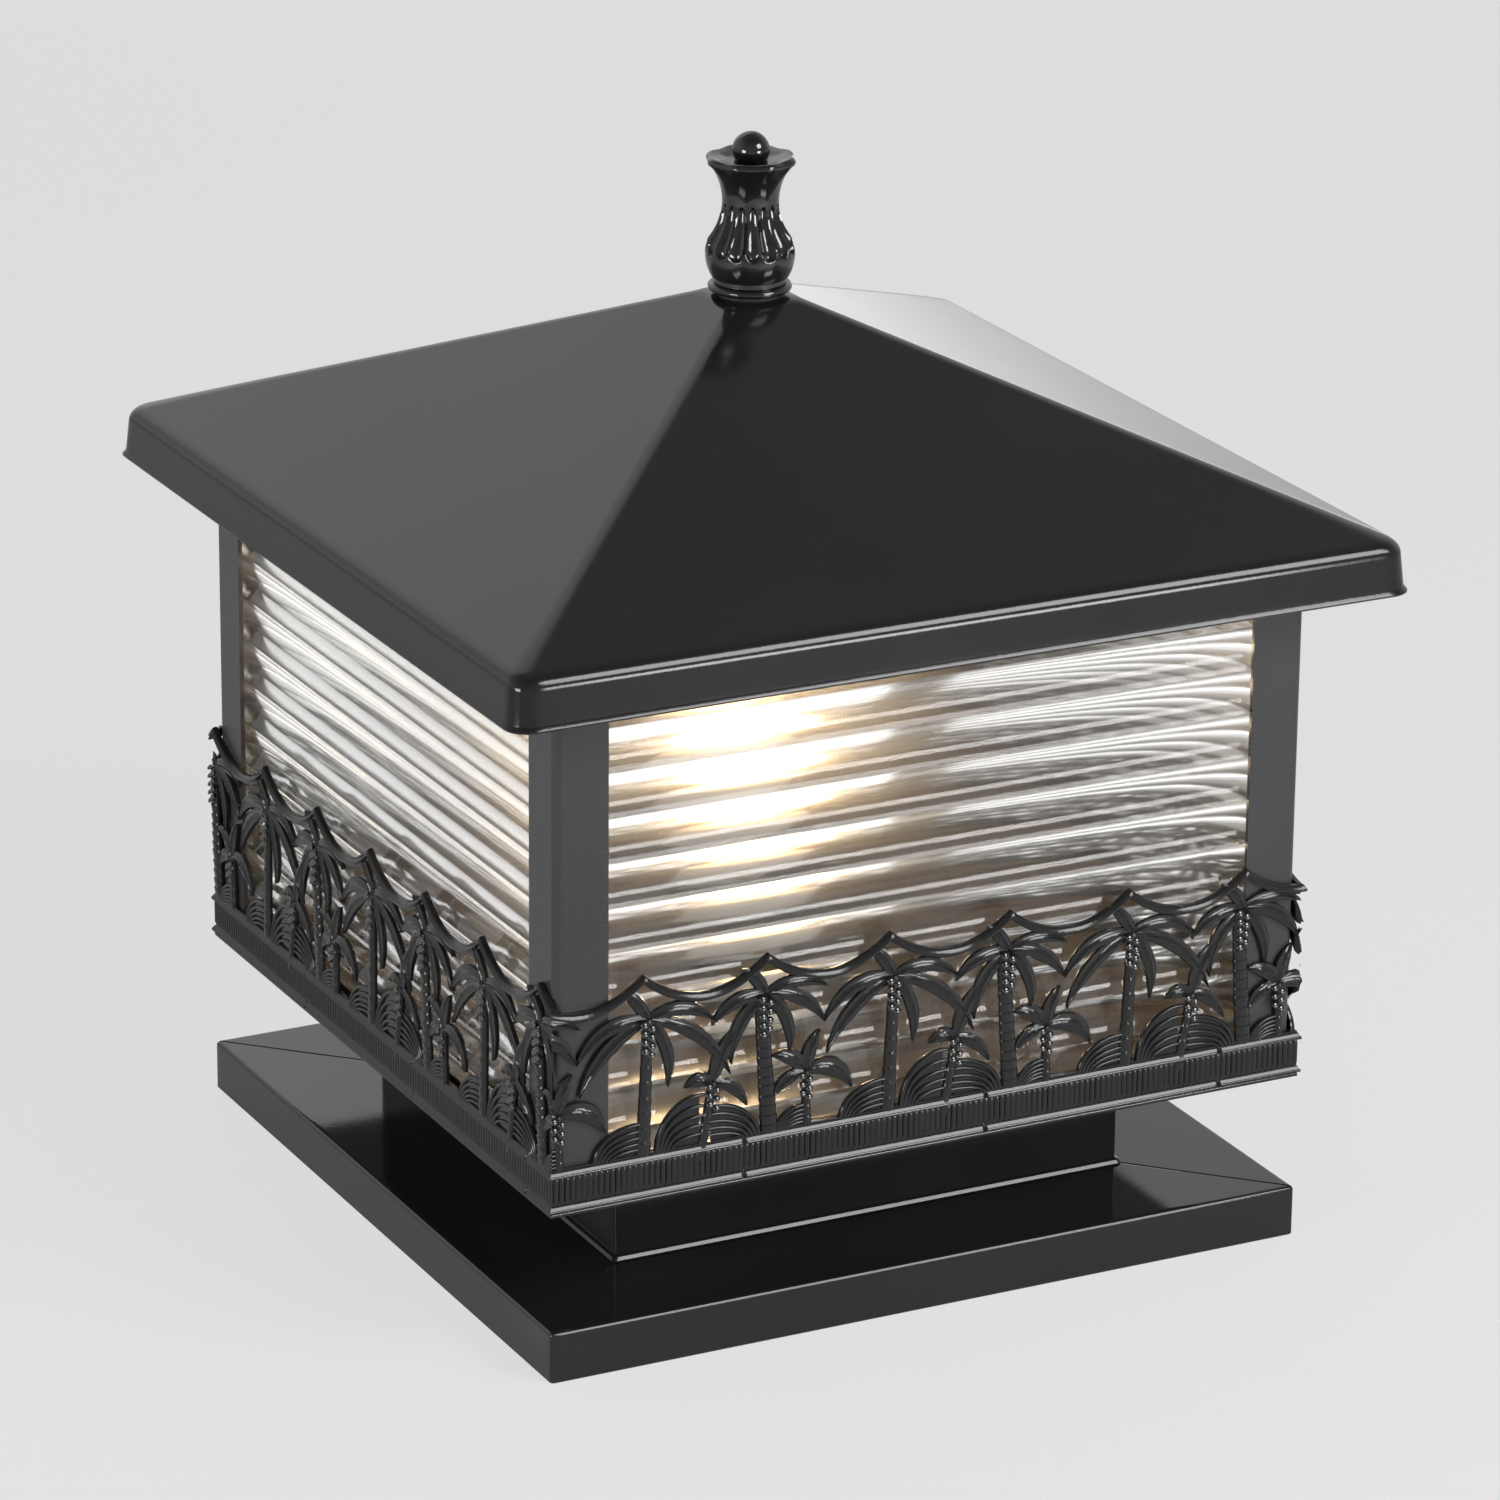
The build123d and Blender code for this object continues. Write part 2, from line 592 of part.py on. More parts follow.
def lampholder_body():
    """Porcelain holder: foot round the rod, shoulder, and a socket lined by the screw shell."""
    low = holder_foot
    rod_end = low + ROD_GRIP
    waist = low + HOLDER_FOOT_HEIGHT
    top = low + HOLDER_HEIGHT
    socket = SHELL_RADIUS + SHELL_PLAY
    rod_hole = ROD_RADIUS + THREAD_PLAY
    lead_hole = ROD_BORE_RADIUS
    outline = ((rod_hole, low), (HOLDER_FOOT_RADIUS, low), (HOLDER_FOOT_RADIUS, waist),
               (HOLDER_RADIUS, waist + HOLDER_SHOULDER), (HOLDER_RADIUS, top - HOLDER_RIM),
               (HOLDER_RADIUS - HOLDER_RIM, top), (socket, top), (socket, holder_seat),
               (lead_hole, holder_seat), (lead_hole, rod_end), (rod_hole, rod_end))
    body = turned(outline)
    for place in terminal_places():
        body -= place * disc(TERMINAL_SCREW_RADIUS + THREAD_PLAY, -TERMINAL_SCREW_DEPTH, TERMINAL_SCREW_PROUD)
    return body


def terminal_places():
    """Mouths of the two terminal screws, on opposite sides of the holder's foot."""
    middle = holder_foot + HOLDER_FOOT_HEIGHT / 2
    front = Plane((0, -HOLDER_FOOT_RADIUS, middle), z_dir=(0, -1, 0))
    back = Plane((0, HOLDER_FOOT_RADIUS, middle), z_dir=(0, 1, 0))
    return [front.location, back.location]


def terminal_screws():
    screws = [place * disc(TERMINAL_SCREW_RADIUS, -TERMINAL_SCREW_DEPTH, TERMINAL_SCREW_PROUD)
              for place in terminal_places()]
    return Compound(children=screws)


def lampholder_shell():
    """Brass screw shell, its foot turned in on the socket's floor."""
    low = holder_seat
    inner = SHELL_RADIUS - SHELL_WALL
    seat = SHELL_RADIUS - SHELL_SEAT
    return turned(((seat, low), (SHELL_RADIUS, low), (SHELL_RADIUS, low + SHELL_HEIGHT),
                   (inner, low + SHELL_HEIGHT), (inner, low + SHELL_WALL), (seat, low + SHELL_WALL)))


def lampholder_contact():
    """Domed centre contact on the socket's floor."""
    low = holder_seat
    edge = low + CONTACT_HEIGHT / 2
    slope = (CONTACT_RADIUS / 2, low + CONTACT_HEIGHT)
    return turned(((0, low), (CONTACT_RADIUS, low), (CONTACT_RADIUS, edge), slope, (0, low + CONTACT_HEIGHT)))


def bulb_contact():
    """Solder tip under the bulb's cap."""
    top = bulb_tip + BULB_TIP_HEIGHT
    return turned(((0, bulb_tip), (BULB_TIP_RADIUS / 2, bulb_tip), (BULB_TIP_RADIUS, top), (0, top)))


def bulb_insulator():
    """Black glass cone between the tip and the cap."""
    low = bulb_tip + BULB_TIP_HEIGHT
    high = low + INSULATOR_HEIGHT
    return turned(((0, low), (BULB_TIP_RADIUS, low), (INSULATOR_RADIUS, high), (0, high)))


def bulb_cap():
    """Screw cap, open upwards."""
    low = bulb_tip + BULB_TIP_HEIGHT + INSULATOR_HEIGHT
    high = low + CAP_HEIGHT
    inner = CAP_RADIUS - CAP_WALL
    return turned(((0, low), (INSULATOR_RADIUS, low), (CAP_RADIUS, low + CAP_TAPER), (CAP_RADIUS, high),
                   (inner, high), (inner, low + CAP_TAPER), (INSULATOR_RADIUS - CAP_WALL, low + CAP_WALL),
                   (0, low + CAP_WALL)))


def bulb_globe():
    """Opal glass globe, sealed, its neck set in the cap."""
    cap_top = bulb_tip + BULB_TIP_HEIGHT + INSULATOR_HEIGHT + CAP_HEIGHT
    centre = bulb_tip + BULB_LENGTH - GLOBE_RADIUS
    neck_radius = CAP_RADIUS - CAP_WALL - GLOBE_PLAY
    low = cap_top - GLOBE_SINK
    neck_top = centre - (GLOBE_RADIUS ** 2 - neck_radius ** 2) ** 0.5
    curve = ThreePointArc((0, centre + GLOBE_RADIUS), (GLOBE_RADIUS, centre), (neck_radius, neck_top))
    stem = Polyline((neck_radius, neck_top), (neck_radius, low), (0, low), (0, centre + GLOBE_RADIUS))
    return revolve(Plane.XZ * make_face(curve + stem), Axis.Z)


def build():
    """Every piece by name."""
    rod_thread = ROD_RADIUS + THREAD_PLAY
    stud_thread = STUD_RADIUS + THREAD_PLAY
    stud_low = ledge_top - STUD_NUT_HEIGHT - STUD_TAIL
    pieces = {
        "mounting_plate": mounting_plate(),
        "cable_bush": cable_bush(),
        "hollow_rod": tube(ROD_RADIUS, ROD_BORE_RADIUS, ROD_LIFT, holder_foot + ROD_GRIP),
        "rod_lock_nut": hex_nut(ROD_NUT_FLATS, rod_thread, PLATE_THICK, PLATE_THICK + ROD_NUT_HEIGHT),
        "base_pan": base_pan(),
        "neck": neck(),
        "floor_tray": floor_tray(),
        "clamp_washer": tube(WASHER_RADIUS, ROD_RADIUS + HOLE_PLAY, floor_top, washer_top),
        "clamp_nut": hex_nut(ROD_NUT_FLATS, rod_thread, washer_top, clamp_top),
        "earth_screw": Pos(EARTH_SCREW_AT, 0, floor_top) * screw(EARTH_SCREW_RADIUS, SHEET + SPIGOT_DEPTH),
        "glass_pads": glass_pads(),
        "crossbar": bar_screw_holes(crossbar()),
        "crossbar_screws": bar_screws(),
        "crossbar_nuts": bar_nuts(),
        "roof_stud": disc(STUD_RADIUS, stud_low, finial_foot + STUD_REACH),
        "stud_nuts": stud_nuts(),
        "roof_shell": roof_shell(),
        "roof_gasket": roof_gasket(),
        "roof_washer": tube(RUBBER_RADIUS, STUD_RADIUS + ROOF_HOLE_PLAY, roof_top, roof_top + RUBBER_THICK),
        "roof_collar": roof_collar(),
        "finial": finial(),
        "finial_insert": tube(INSERT_RADIUS, stud_thread, finial_foot, finial_foot + INSERT_LENGTH),
        "lampholder_body": lampholder_body(),
        "lampholder_shell": lampholder_shell(),
        "lampholder_contact": lampholder_contact(),
        "terminal_screws": terminal_screws(),
        "bulb_contact": bulb_contact(),
        "bulb_insulator": bulb_insulator(),
        "bulb_cap": bulb_cap(),
        "bulb_globe": bulb_globe(),
    }
    repeat = palm_pair()
    for count, side in enumerate(SIDES, start=-1):
        pieces["glass_pane_" + side] = quarter_turn(glass_pane(), count)
        pieces["top_rail_" + side] = bar_screw_holes(quarter_turn(top_rail(), count))
        pieces["palm_frieze_" + side] = palm_frieze(repeat, count)
    for count, corner in enumerate(CORNERS):
        pieces["post_" + corner] = quarter_turn(corner_post(), count)
    return pieces


os.makedirs("parts", exist_ok=True)
for name, shape in build().items():
    export_step(shape, f"parts/{name}.step")
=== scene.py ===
"""Pillar lantern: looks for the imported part.

Shapes are worked out in millimetres as arrays and scaled to metres when they become meshes.
"""
import json
import math

import bmesh
import bpy
import numpy as np
from mathutils import Matrix, Vector


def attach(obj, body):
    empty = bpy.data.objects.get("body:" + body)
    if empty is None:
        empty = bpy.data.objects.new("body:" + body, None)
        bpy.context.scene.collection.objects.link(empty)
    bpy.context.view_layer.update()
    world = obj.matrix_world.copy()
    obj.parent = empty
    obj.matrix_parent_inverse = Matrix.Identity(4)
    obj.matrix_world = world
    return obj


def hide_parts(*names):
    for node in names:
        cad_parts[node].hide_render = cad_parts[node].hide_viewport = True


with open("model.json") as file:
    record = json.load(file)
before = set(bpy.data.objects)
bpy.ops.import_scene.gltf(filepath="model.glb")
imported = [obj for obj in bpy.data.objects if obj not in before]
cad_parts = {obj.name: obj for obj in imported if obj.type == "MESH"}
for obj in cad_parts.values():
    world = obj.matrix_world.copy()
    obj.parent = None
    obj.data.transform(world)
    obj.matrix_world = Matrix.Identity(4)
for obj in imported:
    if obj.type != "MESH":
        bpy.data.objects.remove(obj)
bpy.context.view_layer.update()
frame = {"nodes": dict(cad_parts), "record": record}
nodes = frame["nodes"]

MM = 0.001
TAU = 2 * math.pi
WELD_REACH = 2e-6
NO_LENGTH = 1e-7
SIDES = {"left": -1, "front": 0, "right": 1, "back": 2}


# Meshes

def grid_faces(rows, columns):
    """Quads of a grid whose last column meets its first again."""
    row, column = np.meshgrid(np.arange(rows - 1), np.arange(columns), indexing="ij")
    here = row * columns + column
    beside = row * columns + (column + 1) % columns
    return np.stack([here, beside, beside + columns, here + columns], -1).reshape(-1, 4)


def lofted(rings):
    """Closed skin over rings of points, an array (rings, points, 3), with a fan over each end."""
    count, around = rings.shape[:2]
    points = np.concatenate([rings.reshape(-1, 3), rings[0].mean(0)[None], rings[-1].mean(0)[None]])
    quads = grid_faces(count, around)
    edge = np.arange(around)
    low = np.stack([(edge + 1) % around, edge, np.full(around, count * around)], -1)
    last = (count - 1) * around
    high = np.stack([last + edge, last + (edge + 1) % around, np.full(around, count * around + 1)], -1)
    return points, quads, np.concatenate([low, high])


def joined(skins):
    """Several skins as one list of points and faces, each skin's faces moved on past the points before it."""
    points, faces, first = [], [], 0
    for part, quads, fans in skins:
        points.append(part)
        faces += (quads + first).tolist() + (fans + first).tolist()
        first += len(part)
    return np.concatenate(points), faces


def piece(name, skins, body, finish, replaces, crease, weld=True, cuts=()):
    """One object from skins in millimetres, riding its body and standing for its CAD nodes.

    Each cut is the outward normal of a plane through the axis; what lies beyond it is taken off and closed.
    """
    points, faces = joined(skins)
    mesh = bpy.data.meshes.new(name)
    mesh.from_pydata((points * MM).tolist(), [], faces)
    shape = bmesh.new()
    shape.from_mesh(mesh)
    if weld:
        bmesh.ops.remove_doubles(shape, verts=shape.verts, dist=WELD_REACH)
        bmesh.ops.dissolve_degenerate(shape, edges=shape.edges, dist=NO_LENGTH)
    for normal in cuts:
        whole = shape.verts[:] + shape.edges[:] + shape.faces[:]
        bmesh.ops.bisect_plane(shape, geom=whole, dist=NO_LENGTH, plane_co=(0, 0, 0), plane_no=normal,
                               clear_outer=True)
        bmesh.ops.holes_fill(shape, edges=[edge for edge in shape.edges if edge.is_boundary])
    bmesh.ops.recalc_face_normals(shape, faces=shape.faces)
    shape.to_mesh(mesh)
    shape.free()
    mesh.shade_smooth()
    mesh.set_sharp_from_angle(angle=math.radians(crease))
    mesh.materials.append(finish)
    made = bpy.data.objects.new(name, mesh)
    bpy.context.scene.collection.objects.link(made)
    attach(made, body)
    if replaces:
        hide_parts(*replaces)


def turned(radius, height, around=64):
    """Rings of a solid of revolution from arrays of radius and height; both may depend on the angle too."""
    angle = np.linspace(0, TAU, around, endpoint=False)[None, :]
    radius = np.asarray(radius, float)
    height = np.asarray(height, float)
    radius = radius[:, None] if radius.ndim == 1 else radius
    height = height[:, None] if height.ndim == 1 else height
    flat = np.zeros_like(angle)
    return np.stack([radius * np.cos(angle) + 0 * height, radius * np.sin(angle) + 0 * height,
                     height + flat + 0 * radius], -1)


def smooth(low, high, x):
    """Rises from 0 at low to 1 at high along a cubic."""
    t = np.clip((x - low) / (high - low), 0, 1)
    return t * t * (3 - 2 * t)


# Shader nodes

class Socket:
    """A shader value. Arithmetic on it adds Math nodes to its tree."""

    def __init__(self, tree, out):
        self.tree = tree
        self.out = out

    def math(self, operation, *values):
        node = self.tree.nodes.new("ShaderNodeMath")
        node.operation = operation
        for socket, value in zip(node.inputs, values):
            if isinstance(value, Socket):
                self.tree.links.new(value.out, socket)
            else:
                socket.default_value = value
        return Socket(self.tree, node.outputs[0])

    def __add__(self, other):
        return self.math("ADD", self, other)

    def __radd__(self, other):
        return self.math("ADD", other, self)

    def __sub__(self, other):
        return self.math("SUBTRACT", self, other)

    def __mul__(self, other):
        return self.math("MULTIPLY", self, other)

    def __rmul__(self, other):
        return self.math("MULTIPLY", other, self)

    def __gt__(self, other):
        return self.math("GREATER_THAN", self, other)


class Finish:
    """A material or world under construction."""

    def __init__(self, owner):
        owner.use_nodes = True
        self.owner = owner
        self.tree = owner.node_tree
        self.tree.nodes.clear()

    def node(self, kind, settings=None, sockets=None, out=0):
        """Adds a node, sets it up, fills or links its sockets and gives one output."""
        made = self.tree.nodes.new(kind)
        for key, value in (settings or {}).items():
            if key == "stops":
                stops = made.color_ramp.elements
                while len(stops) < len(value):
                    stops.new(0.5)
                for stop, (position, colour) in zip(stops, value):
                    stop.position = position
                    stop.color = (*colour, 1)
            else:
                setattr(made, key, value)
        for key, value in (sockets or {}).items():
            if isinstance(value, Socket):
                self.tree.links.new(value.out, made.inputs[key])
            else:
                made.inputs[key].default_value = value
        return Socket(self.tree, made.outputs[out]) if made.outputs else None

    def place(self):
        """Object coordinates, in metres."""
        return self.node("ShaderNodeTexCoord", out="Object")

    def axis(self, name):
        return self.node("ShaderNodeSeparateXYZ", sockets={0: self.place()}, out=name)

    def noise(self, scale, detail=2.0, stretch=(1, 1, 1)):
        at = self.node("ShaderNodeMapping", sockets={"Vector": self.place(), "Scale": stretch})
        return self.node("ShaderNodeTexNoise", sockets={"Vector": at, "Scale": scale, "Detail": detail})

    def mix(self, share, first, second):
        """Colour between two colours."""
        colours = {0: share, 6: (*first, 1) if isinstance(first, tuple) else first,
                   7: (*second, 1) if isinstance(second, tuple) else second}
        return self.node("ShaderNodeMix", {"data_type": "RGBA"}, colours, out=2)

    def bump(self, height, distance):
        sockets = {"Height": height, "Distance": distance, "Strength": 1.0}
        return self.node("ShaderNodeBump", sockets=sockets)

    def surface(self, **sockets):
        """Principled shader on the material's output; names use spaces for underscores."""
        named = {key.replace("_", " ").title().replace("Ior", "IOR"): value for key, value in sockets.items()}
        shader = self.node("ShaderNodeBsdfPrincipled", sockets=named)
        self.node("ShaderNodeOutputMaterial", sockets={"Surface": shader})
        return self.owner


def material(name):
    return Finish(bpy.data.materials.new(name))


COAT_GREYS = (0.011, 0.018)
COAT_HUE = (1.0, 1.0, 1.04)
PEEL_DEPTH = 0.00004
TRAY_FACE = 0.055


def paint(name, rough, peel, tint, gloss=0.36):
    """Black powder coat: slow clouds in colour and gloss, fine orange peel."""
    coat = material(name)
    cloud = coat.noise(16.0, 3.0)
    grain = coat.noise(850.0, 2.0)
    dark, pale = np.outer(COAT_GREYS, COAT_HUE) * tint
    return coat.surface(base_color=coat.mix(cloud, tuple(dark), tuple(pale)), specular_ior_level=gloss,
                        roughness=rough + 0.05 * (cloud - 0.5) + 0.03 * (grain - 0.5),
                        normal=coat.bump(grain * peel, PEEL_DEPTH))


def tray_paint():
    """Lantern floor: black outside; its upper face, where the lamp lights it, is painted a lighter warm grey
    in clouds as painted lamp light.
    """
    skin = material("tray_paint")
    cloud = skin.noise(30.0, 3.0)
    grain = skin.noise(700.0, 2.0)
    inside = skin.axis("Z") > TRAY_FACE
    # Painted light: the upper face is a lighter warm grey that stands for the bulb's warm light on it; the
    # clouds vary its tone.
    painted_lamp_warmth = skin.mix(cloud, (0.052, 0.044, 0.037), (0.080, 0.068, 0.058))
    return skin.surface(base_color=skin.mix(inside, (0.012, 0.012, 0.012), painted_lamp_warmth),
                        roughness=0.18 + 0.1 * cloud, normal=skin.bump(grain, 0.00003))


def metal(name, dark, pale, rough, brushed=(1, 1, 1)):
    """Bare or plated metal: two tints in clouds, streaks in gloss and a faint bump."""
    skin = material(name)
    cloud = skin.noise(60.0, 3.0)
    streak = skin.noise(900.0, 3.0, brushed)
    return skin.surface(base_color=skin.mix(cloud, dark, pale), metallic=1.0,
                        roughness=rough + 0.14 * (streak - 0.5) + 0.1 * (cloud - 0.5),
                        normal=skin.bump(streak, 0.00002))


def moulded(name, dark, pale, rough, grain_scale, depth):
    """Plastic, rubber or glazed clay: a slow tint, a grain of its own scale."""
    skin = material(name)
    cloud = skin.noise(40.0, 2.0)
    grain = skin.noise(grain_scale, 3.0)
    return skin.surface(base_color=skin.mix(cloud, dark, pale), roughness=rough + 0.12 * (grain - 0.5),
                        normal=skin.bump(grain, depth))


def ribbed_glass():
    """Clear pressed glass, its faces faintly wavy along the flutes, under a thin haze.

    The haze spreads the lamp's glow.
    """
    skin = material("ribbed_glass")
    wave = skin.noise(40.0, 2.0, (1.0, 1.0, 3.0))
    bulk = {"Base Color": (0.98, 0.985, 0.98, 1), "IOR": 1.5, "Transmission Weight": 1.0,
            "Specular Tint": (0.6, 0.6, 0.6, 1), "Normal": skin.bump(wave, 0.00005)}
    clear = skin.node("ShaderNodeBsdfPrincipled", sockets={**bulk, "Roughness": 0.07 + 0.05 * wave})
    haze = skin.node("ShaderNodeBsdfPrincipled", sockets={**bulk, "Roughness": 0.40})
    both = skin.node("ShaderNodeMixShader", sockets={0: 0.07 + 0.07 * wave, 1: clear, 2: haze})
    skin.node("ShaderNodeOutputMaterial", sockets={"Surface": both})
    return skin.owner


def lit_opal():
    """Opal glass lit from inside: bright over its dome, dim and warmer towards its neck."""
    skin = material("lit_opal")
    rise = skin.node("ShaderNodeMapRange",
                     sockets={"Value": skin.axis("Z"), "From Min": 0.130, "From Max": 0.159})
    cloud = skin.noise(90.0, 2.0)
    return skin.surface(base_color=skin.mix(cloud, (0.93, 0.90, 0.84), (0.97, 0.95, 0.90)), roughness=0.25,
                        emission_color=skin.mix(rise, (0.0065, 0.0035, 0.0012), (1.0, 0.72, 0.42)),
                        emission_strength=360.0)


black_paint = paint("black_paint", rough=0.13, peel=0.4, tint=0.9)
post_paint = paint("post_paint", rough=0.28, peel=0.8, tint=2.7)
base_paint = paint("base_paint", rough=0.08, peel=0.3, tint=0.8, gloss=0.44)
roof_paint = paint("roof_paint", rough=0.13, peel=0.4, tint=0.8)
cast_paint = paint("cast_paint", rough=0.15, peel=0.8, tint=1.0)
finial_paint = paint("finial_paint", rough=0.08, peel=0.3, tint=0.6, gloss=0.7)
nut_paint = paint("nut_paint", rough=0.06, peel=0.2, tint=0.9, gloss=1.0)
zinc = metal("zinc", dark=(0.50, 0.50, 0.48), pale=(0.66, 0.66, 0.63), rough=0.34, brushed=(1, 1, 6))
brass = metal("brass", dark=(0.62, 0.44, 0.17), pale=(0.76, 0.58, 0.27), rough=0.26, brushed=(1, 1, 5))
bulb_metal = metal("bulb_metal", dark=(0.70, 0.70, 0.69), pale=(0.82, 0.82, 0.81), rough=0.24)
porcelain = moulded("porcelain", dark=(0.80, 0.79, 0.75), pale=(0.88, 0.87, 0.84), rough=0.16,
                    grain_scale=300.0, depth=0.00002)
rubber = moulded("rubber", dark=(0.018, 0.018, 0.018), pale=(0.035, 0.035, 0.034), rough=0.72,
                 grain_scale=1200.0, depth=0.00006)
bush_plastic = moulded("bush_plastic", dark=(0.74, 0.74, 0.71), pale=(0.84, 0.84, 0.81), rough=0.45,
                       grain_scale=900.0, depth=0.00002)
black_glass = moulded("black_glass", dark=(0.010, 0.010, 0.011), pale=(0.022, 0.021, 0.022), rough=0.10,
                      grain_scale=500.0, depth=0.00001)
pane_glass = ribbed_glass()
opal = lit_opal()

FINISHES = {
    "black_paint": black_paint, "roof_paint": roof_paint, "cast_black": cast_paint, "zinc_steel": zinc,
    "ribbed_glass": pane_glass, "opal_glass": opal, "brass": brass, "bulb_metal": bulb_metal,
    "black_glass": black_glass, "porcelain": porcelain, "rubber": rubber, "bush_plastic": bush_plastic,
}
for part in frame["record"]["subparts"]:
    mesh = nodes[part["node"]].data
    mesh.materials.clear()
    mesh.materials.append(FINISHES[part["material_slot"]])
for corner in ("front_left", "front_right", "back_right", "back_left"):
    nodes["post_" + corner].data.materials[0] = post_paint
nodes["floor_tray"].data.materials[0] = tray_paint()


# Base and neck

BASE_HALF = 128.3
BASE_TOP = 16.3
BASE_BEND = 1.2
BASE_SHEET = 1.5
BASE_EDGE = 0.3
SEAM_DEPTH = 0.35
NECK_HALF = 87.5
NECK_LOW = 16.3
NECK_TOP = 54.0
NECK_INSIDE = 86.0
FLANGE_INSIDE = 70.2
SPIGOT_HALF = 71.7
SPIGOT_LOW = 13.3
FOOT_INSIDE = 17.8
OPENING_HALF = 72.0
COLUMNS_A_SIDE = 16
SEAM_COLUMN = 12


def rounded_square(half, corner):
    """Points of rounded squares from arrays of half width and corner radius.

    Each side is a straight run with points gathered near its ends, followed by a quarter arc.
    """
    half = half[:, None]
    corner = np.minimum(corner, half[:, 0])[:, None]
    straight = np.array([-1, -0.985, -0.94, -0.6, 0, 0.6, 0.94, 0.985, 1])[None, :] * (half - corner)
    arc = np.linspace(0, math.pi / 2, 9)[None, 1:-1]
    x = np.concatenate([half + 0 * straight, half - corner + corner * np.cos(arc)], 1)
    y = np.concatenate([straight, half - corner + corner * np.sin(arc)], 1)
    xs = np.concatenate([x, -y, -x, y], 1)
    ys = np.concatenate([y, x, -y, -x], 1)
    return xs, ys


def square_shell(half, z, corner, lowered=0.0):
    """Closed skin: an outline of half width and height, carried round the axis on rounded squares."""
    xs, ys = rounded_square(half, corner)
    rings = np.stack([xs, ys, z[:, None] - lowered + 0 * xs], -1)
    closed = np.concatenate([rings, rings[:1]])
    return [(closed.reshape(-1, 3), grid_faces(*closed.shape[:2]), np.zeros((0, 3), int))]


def base_cover():
    """Folded pan with rounded top edges; a shallow mitre seam runs down each diagonal of its top.

    The seam sinks the three middle columns of each corner's arc, over the part of the top outside the neck.
    """
    bend = np.linspace(0, 0.5 * math.pi, 7)
    across = np.array([0.02, 0.1, 0.3, 0.6, 0.85, 1.0])
    flat = BASE_HALF - BASE_BEND + (OPENING_HALF - BASE_HALF + BASE_BEND) * across
    half = np.concatenate([[BASE_HALF - BASE_EDGE, BASE_HALF, BASE_HALF, BASE_HALF],
                           BASE_HALF - BASE_BEND + BASE_BEND * np.cos(bend), flat,
                           [OPENING_HALF], [BASE_HALF - BASE_SHEET] * 2])
    z = np.concatenate([[0.0, BASE_EDGE, 0.45 * BASE_TOP, BASE_TOP - BASE_BEND - BASE_EDGE],
                        BASE_TOP - BASE_BEND + BASE_BEND * np.sin(bend), 0 * flat + BASE_TOP,
                        [BASE_TOP - BASE_SHEET] * 2, [0.0]])
    aside = np.abs(np.arange(4 * COLUMNS_A_SIDE) % COLUMNS_A_SIDE - SEAM_COLUMN)
    sunk = np.where(aside == 0, 1.0, np.where(aside == 1, 0.6, 0.0))[None, :]
    top = ((z > BASE_TOP - 0.5) & (half > NECK_HALF))[:, None]
    return square_shell(half, z, 0 * half + BASE_BEND, SEAM_DEPTH * sunk * top)


def neck_sleeve():
    """Square tube on a sloped foot flange, flanged inwards at both ends, its spigot in the base's opening.

    Its outline runs from the spigot over the foot, up the wall, over the top flange and down the inside.
    """
    spigot = [(FLANGE_INSIDE, SPIGOT_LOW), (SPIGOT_HALF, SPIGOT_LOW), (SPIGOT_HALF, NECK_LOW)]
    foot = [(88.9, NECK_LOW), (89.1, 16.45), (89.1, 16.6), (88.5, 17.52), (87.9, 17.8)]
    wall = [(NECK_HALF, z) for z in (18.1, 18.4, 36.0, 53.1, 53.4)]
    flange = [(87.3, 53.8), (86.9, NECK_TOP), (OPENING_HALF, NECK_TOP), (OPENING_HALF, 52.5)]
    inside = [(NECK_INSIDE, 52.5), (NECK_INSIDE, FOOT_INSIDE), (FLANGE_INSIDE, FOOT_INSIDE)]
    half, z = np.array(spigot + foot + wall + flange + inside).T
    return square_shell(half, z, np.where(half > 87.0, 1.5, 0.6))


piece("base_cover", base_cover(), "lantern_body", base_paint, ["base_pan"], crease=30)
piece("neck_sleeve", neck_sleeve(), "lantern_body", black_paint, ["neck"], crease=28)


# Roof

LIP_LOW = 214.66
LIP_HALF = 149.3
EAVE_Z = 229.46
SLOPE = 0.4255
ROOF_TOP = 287.99
FLARE = 0.085
SHOULDER = 5.5
LIP_CORNER = 7.0
HIP_CORNER = 3.8
SHEET = 1.2
HEM_TOP = 2.0
STUD_HOLE = 4.6
HOLE_RING = 8.0
ROUND_WITHIN = 9.0


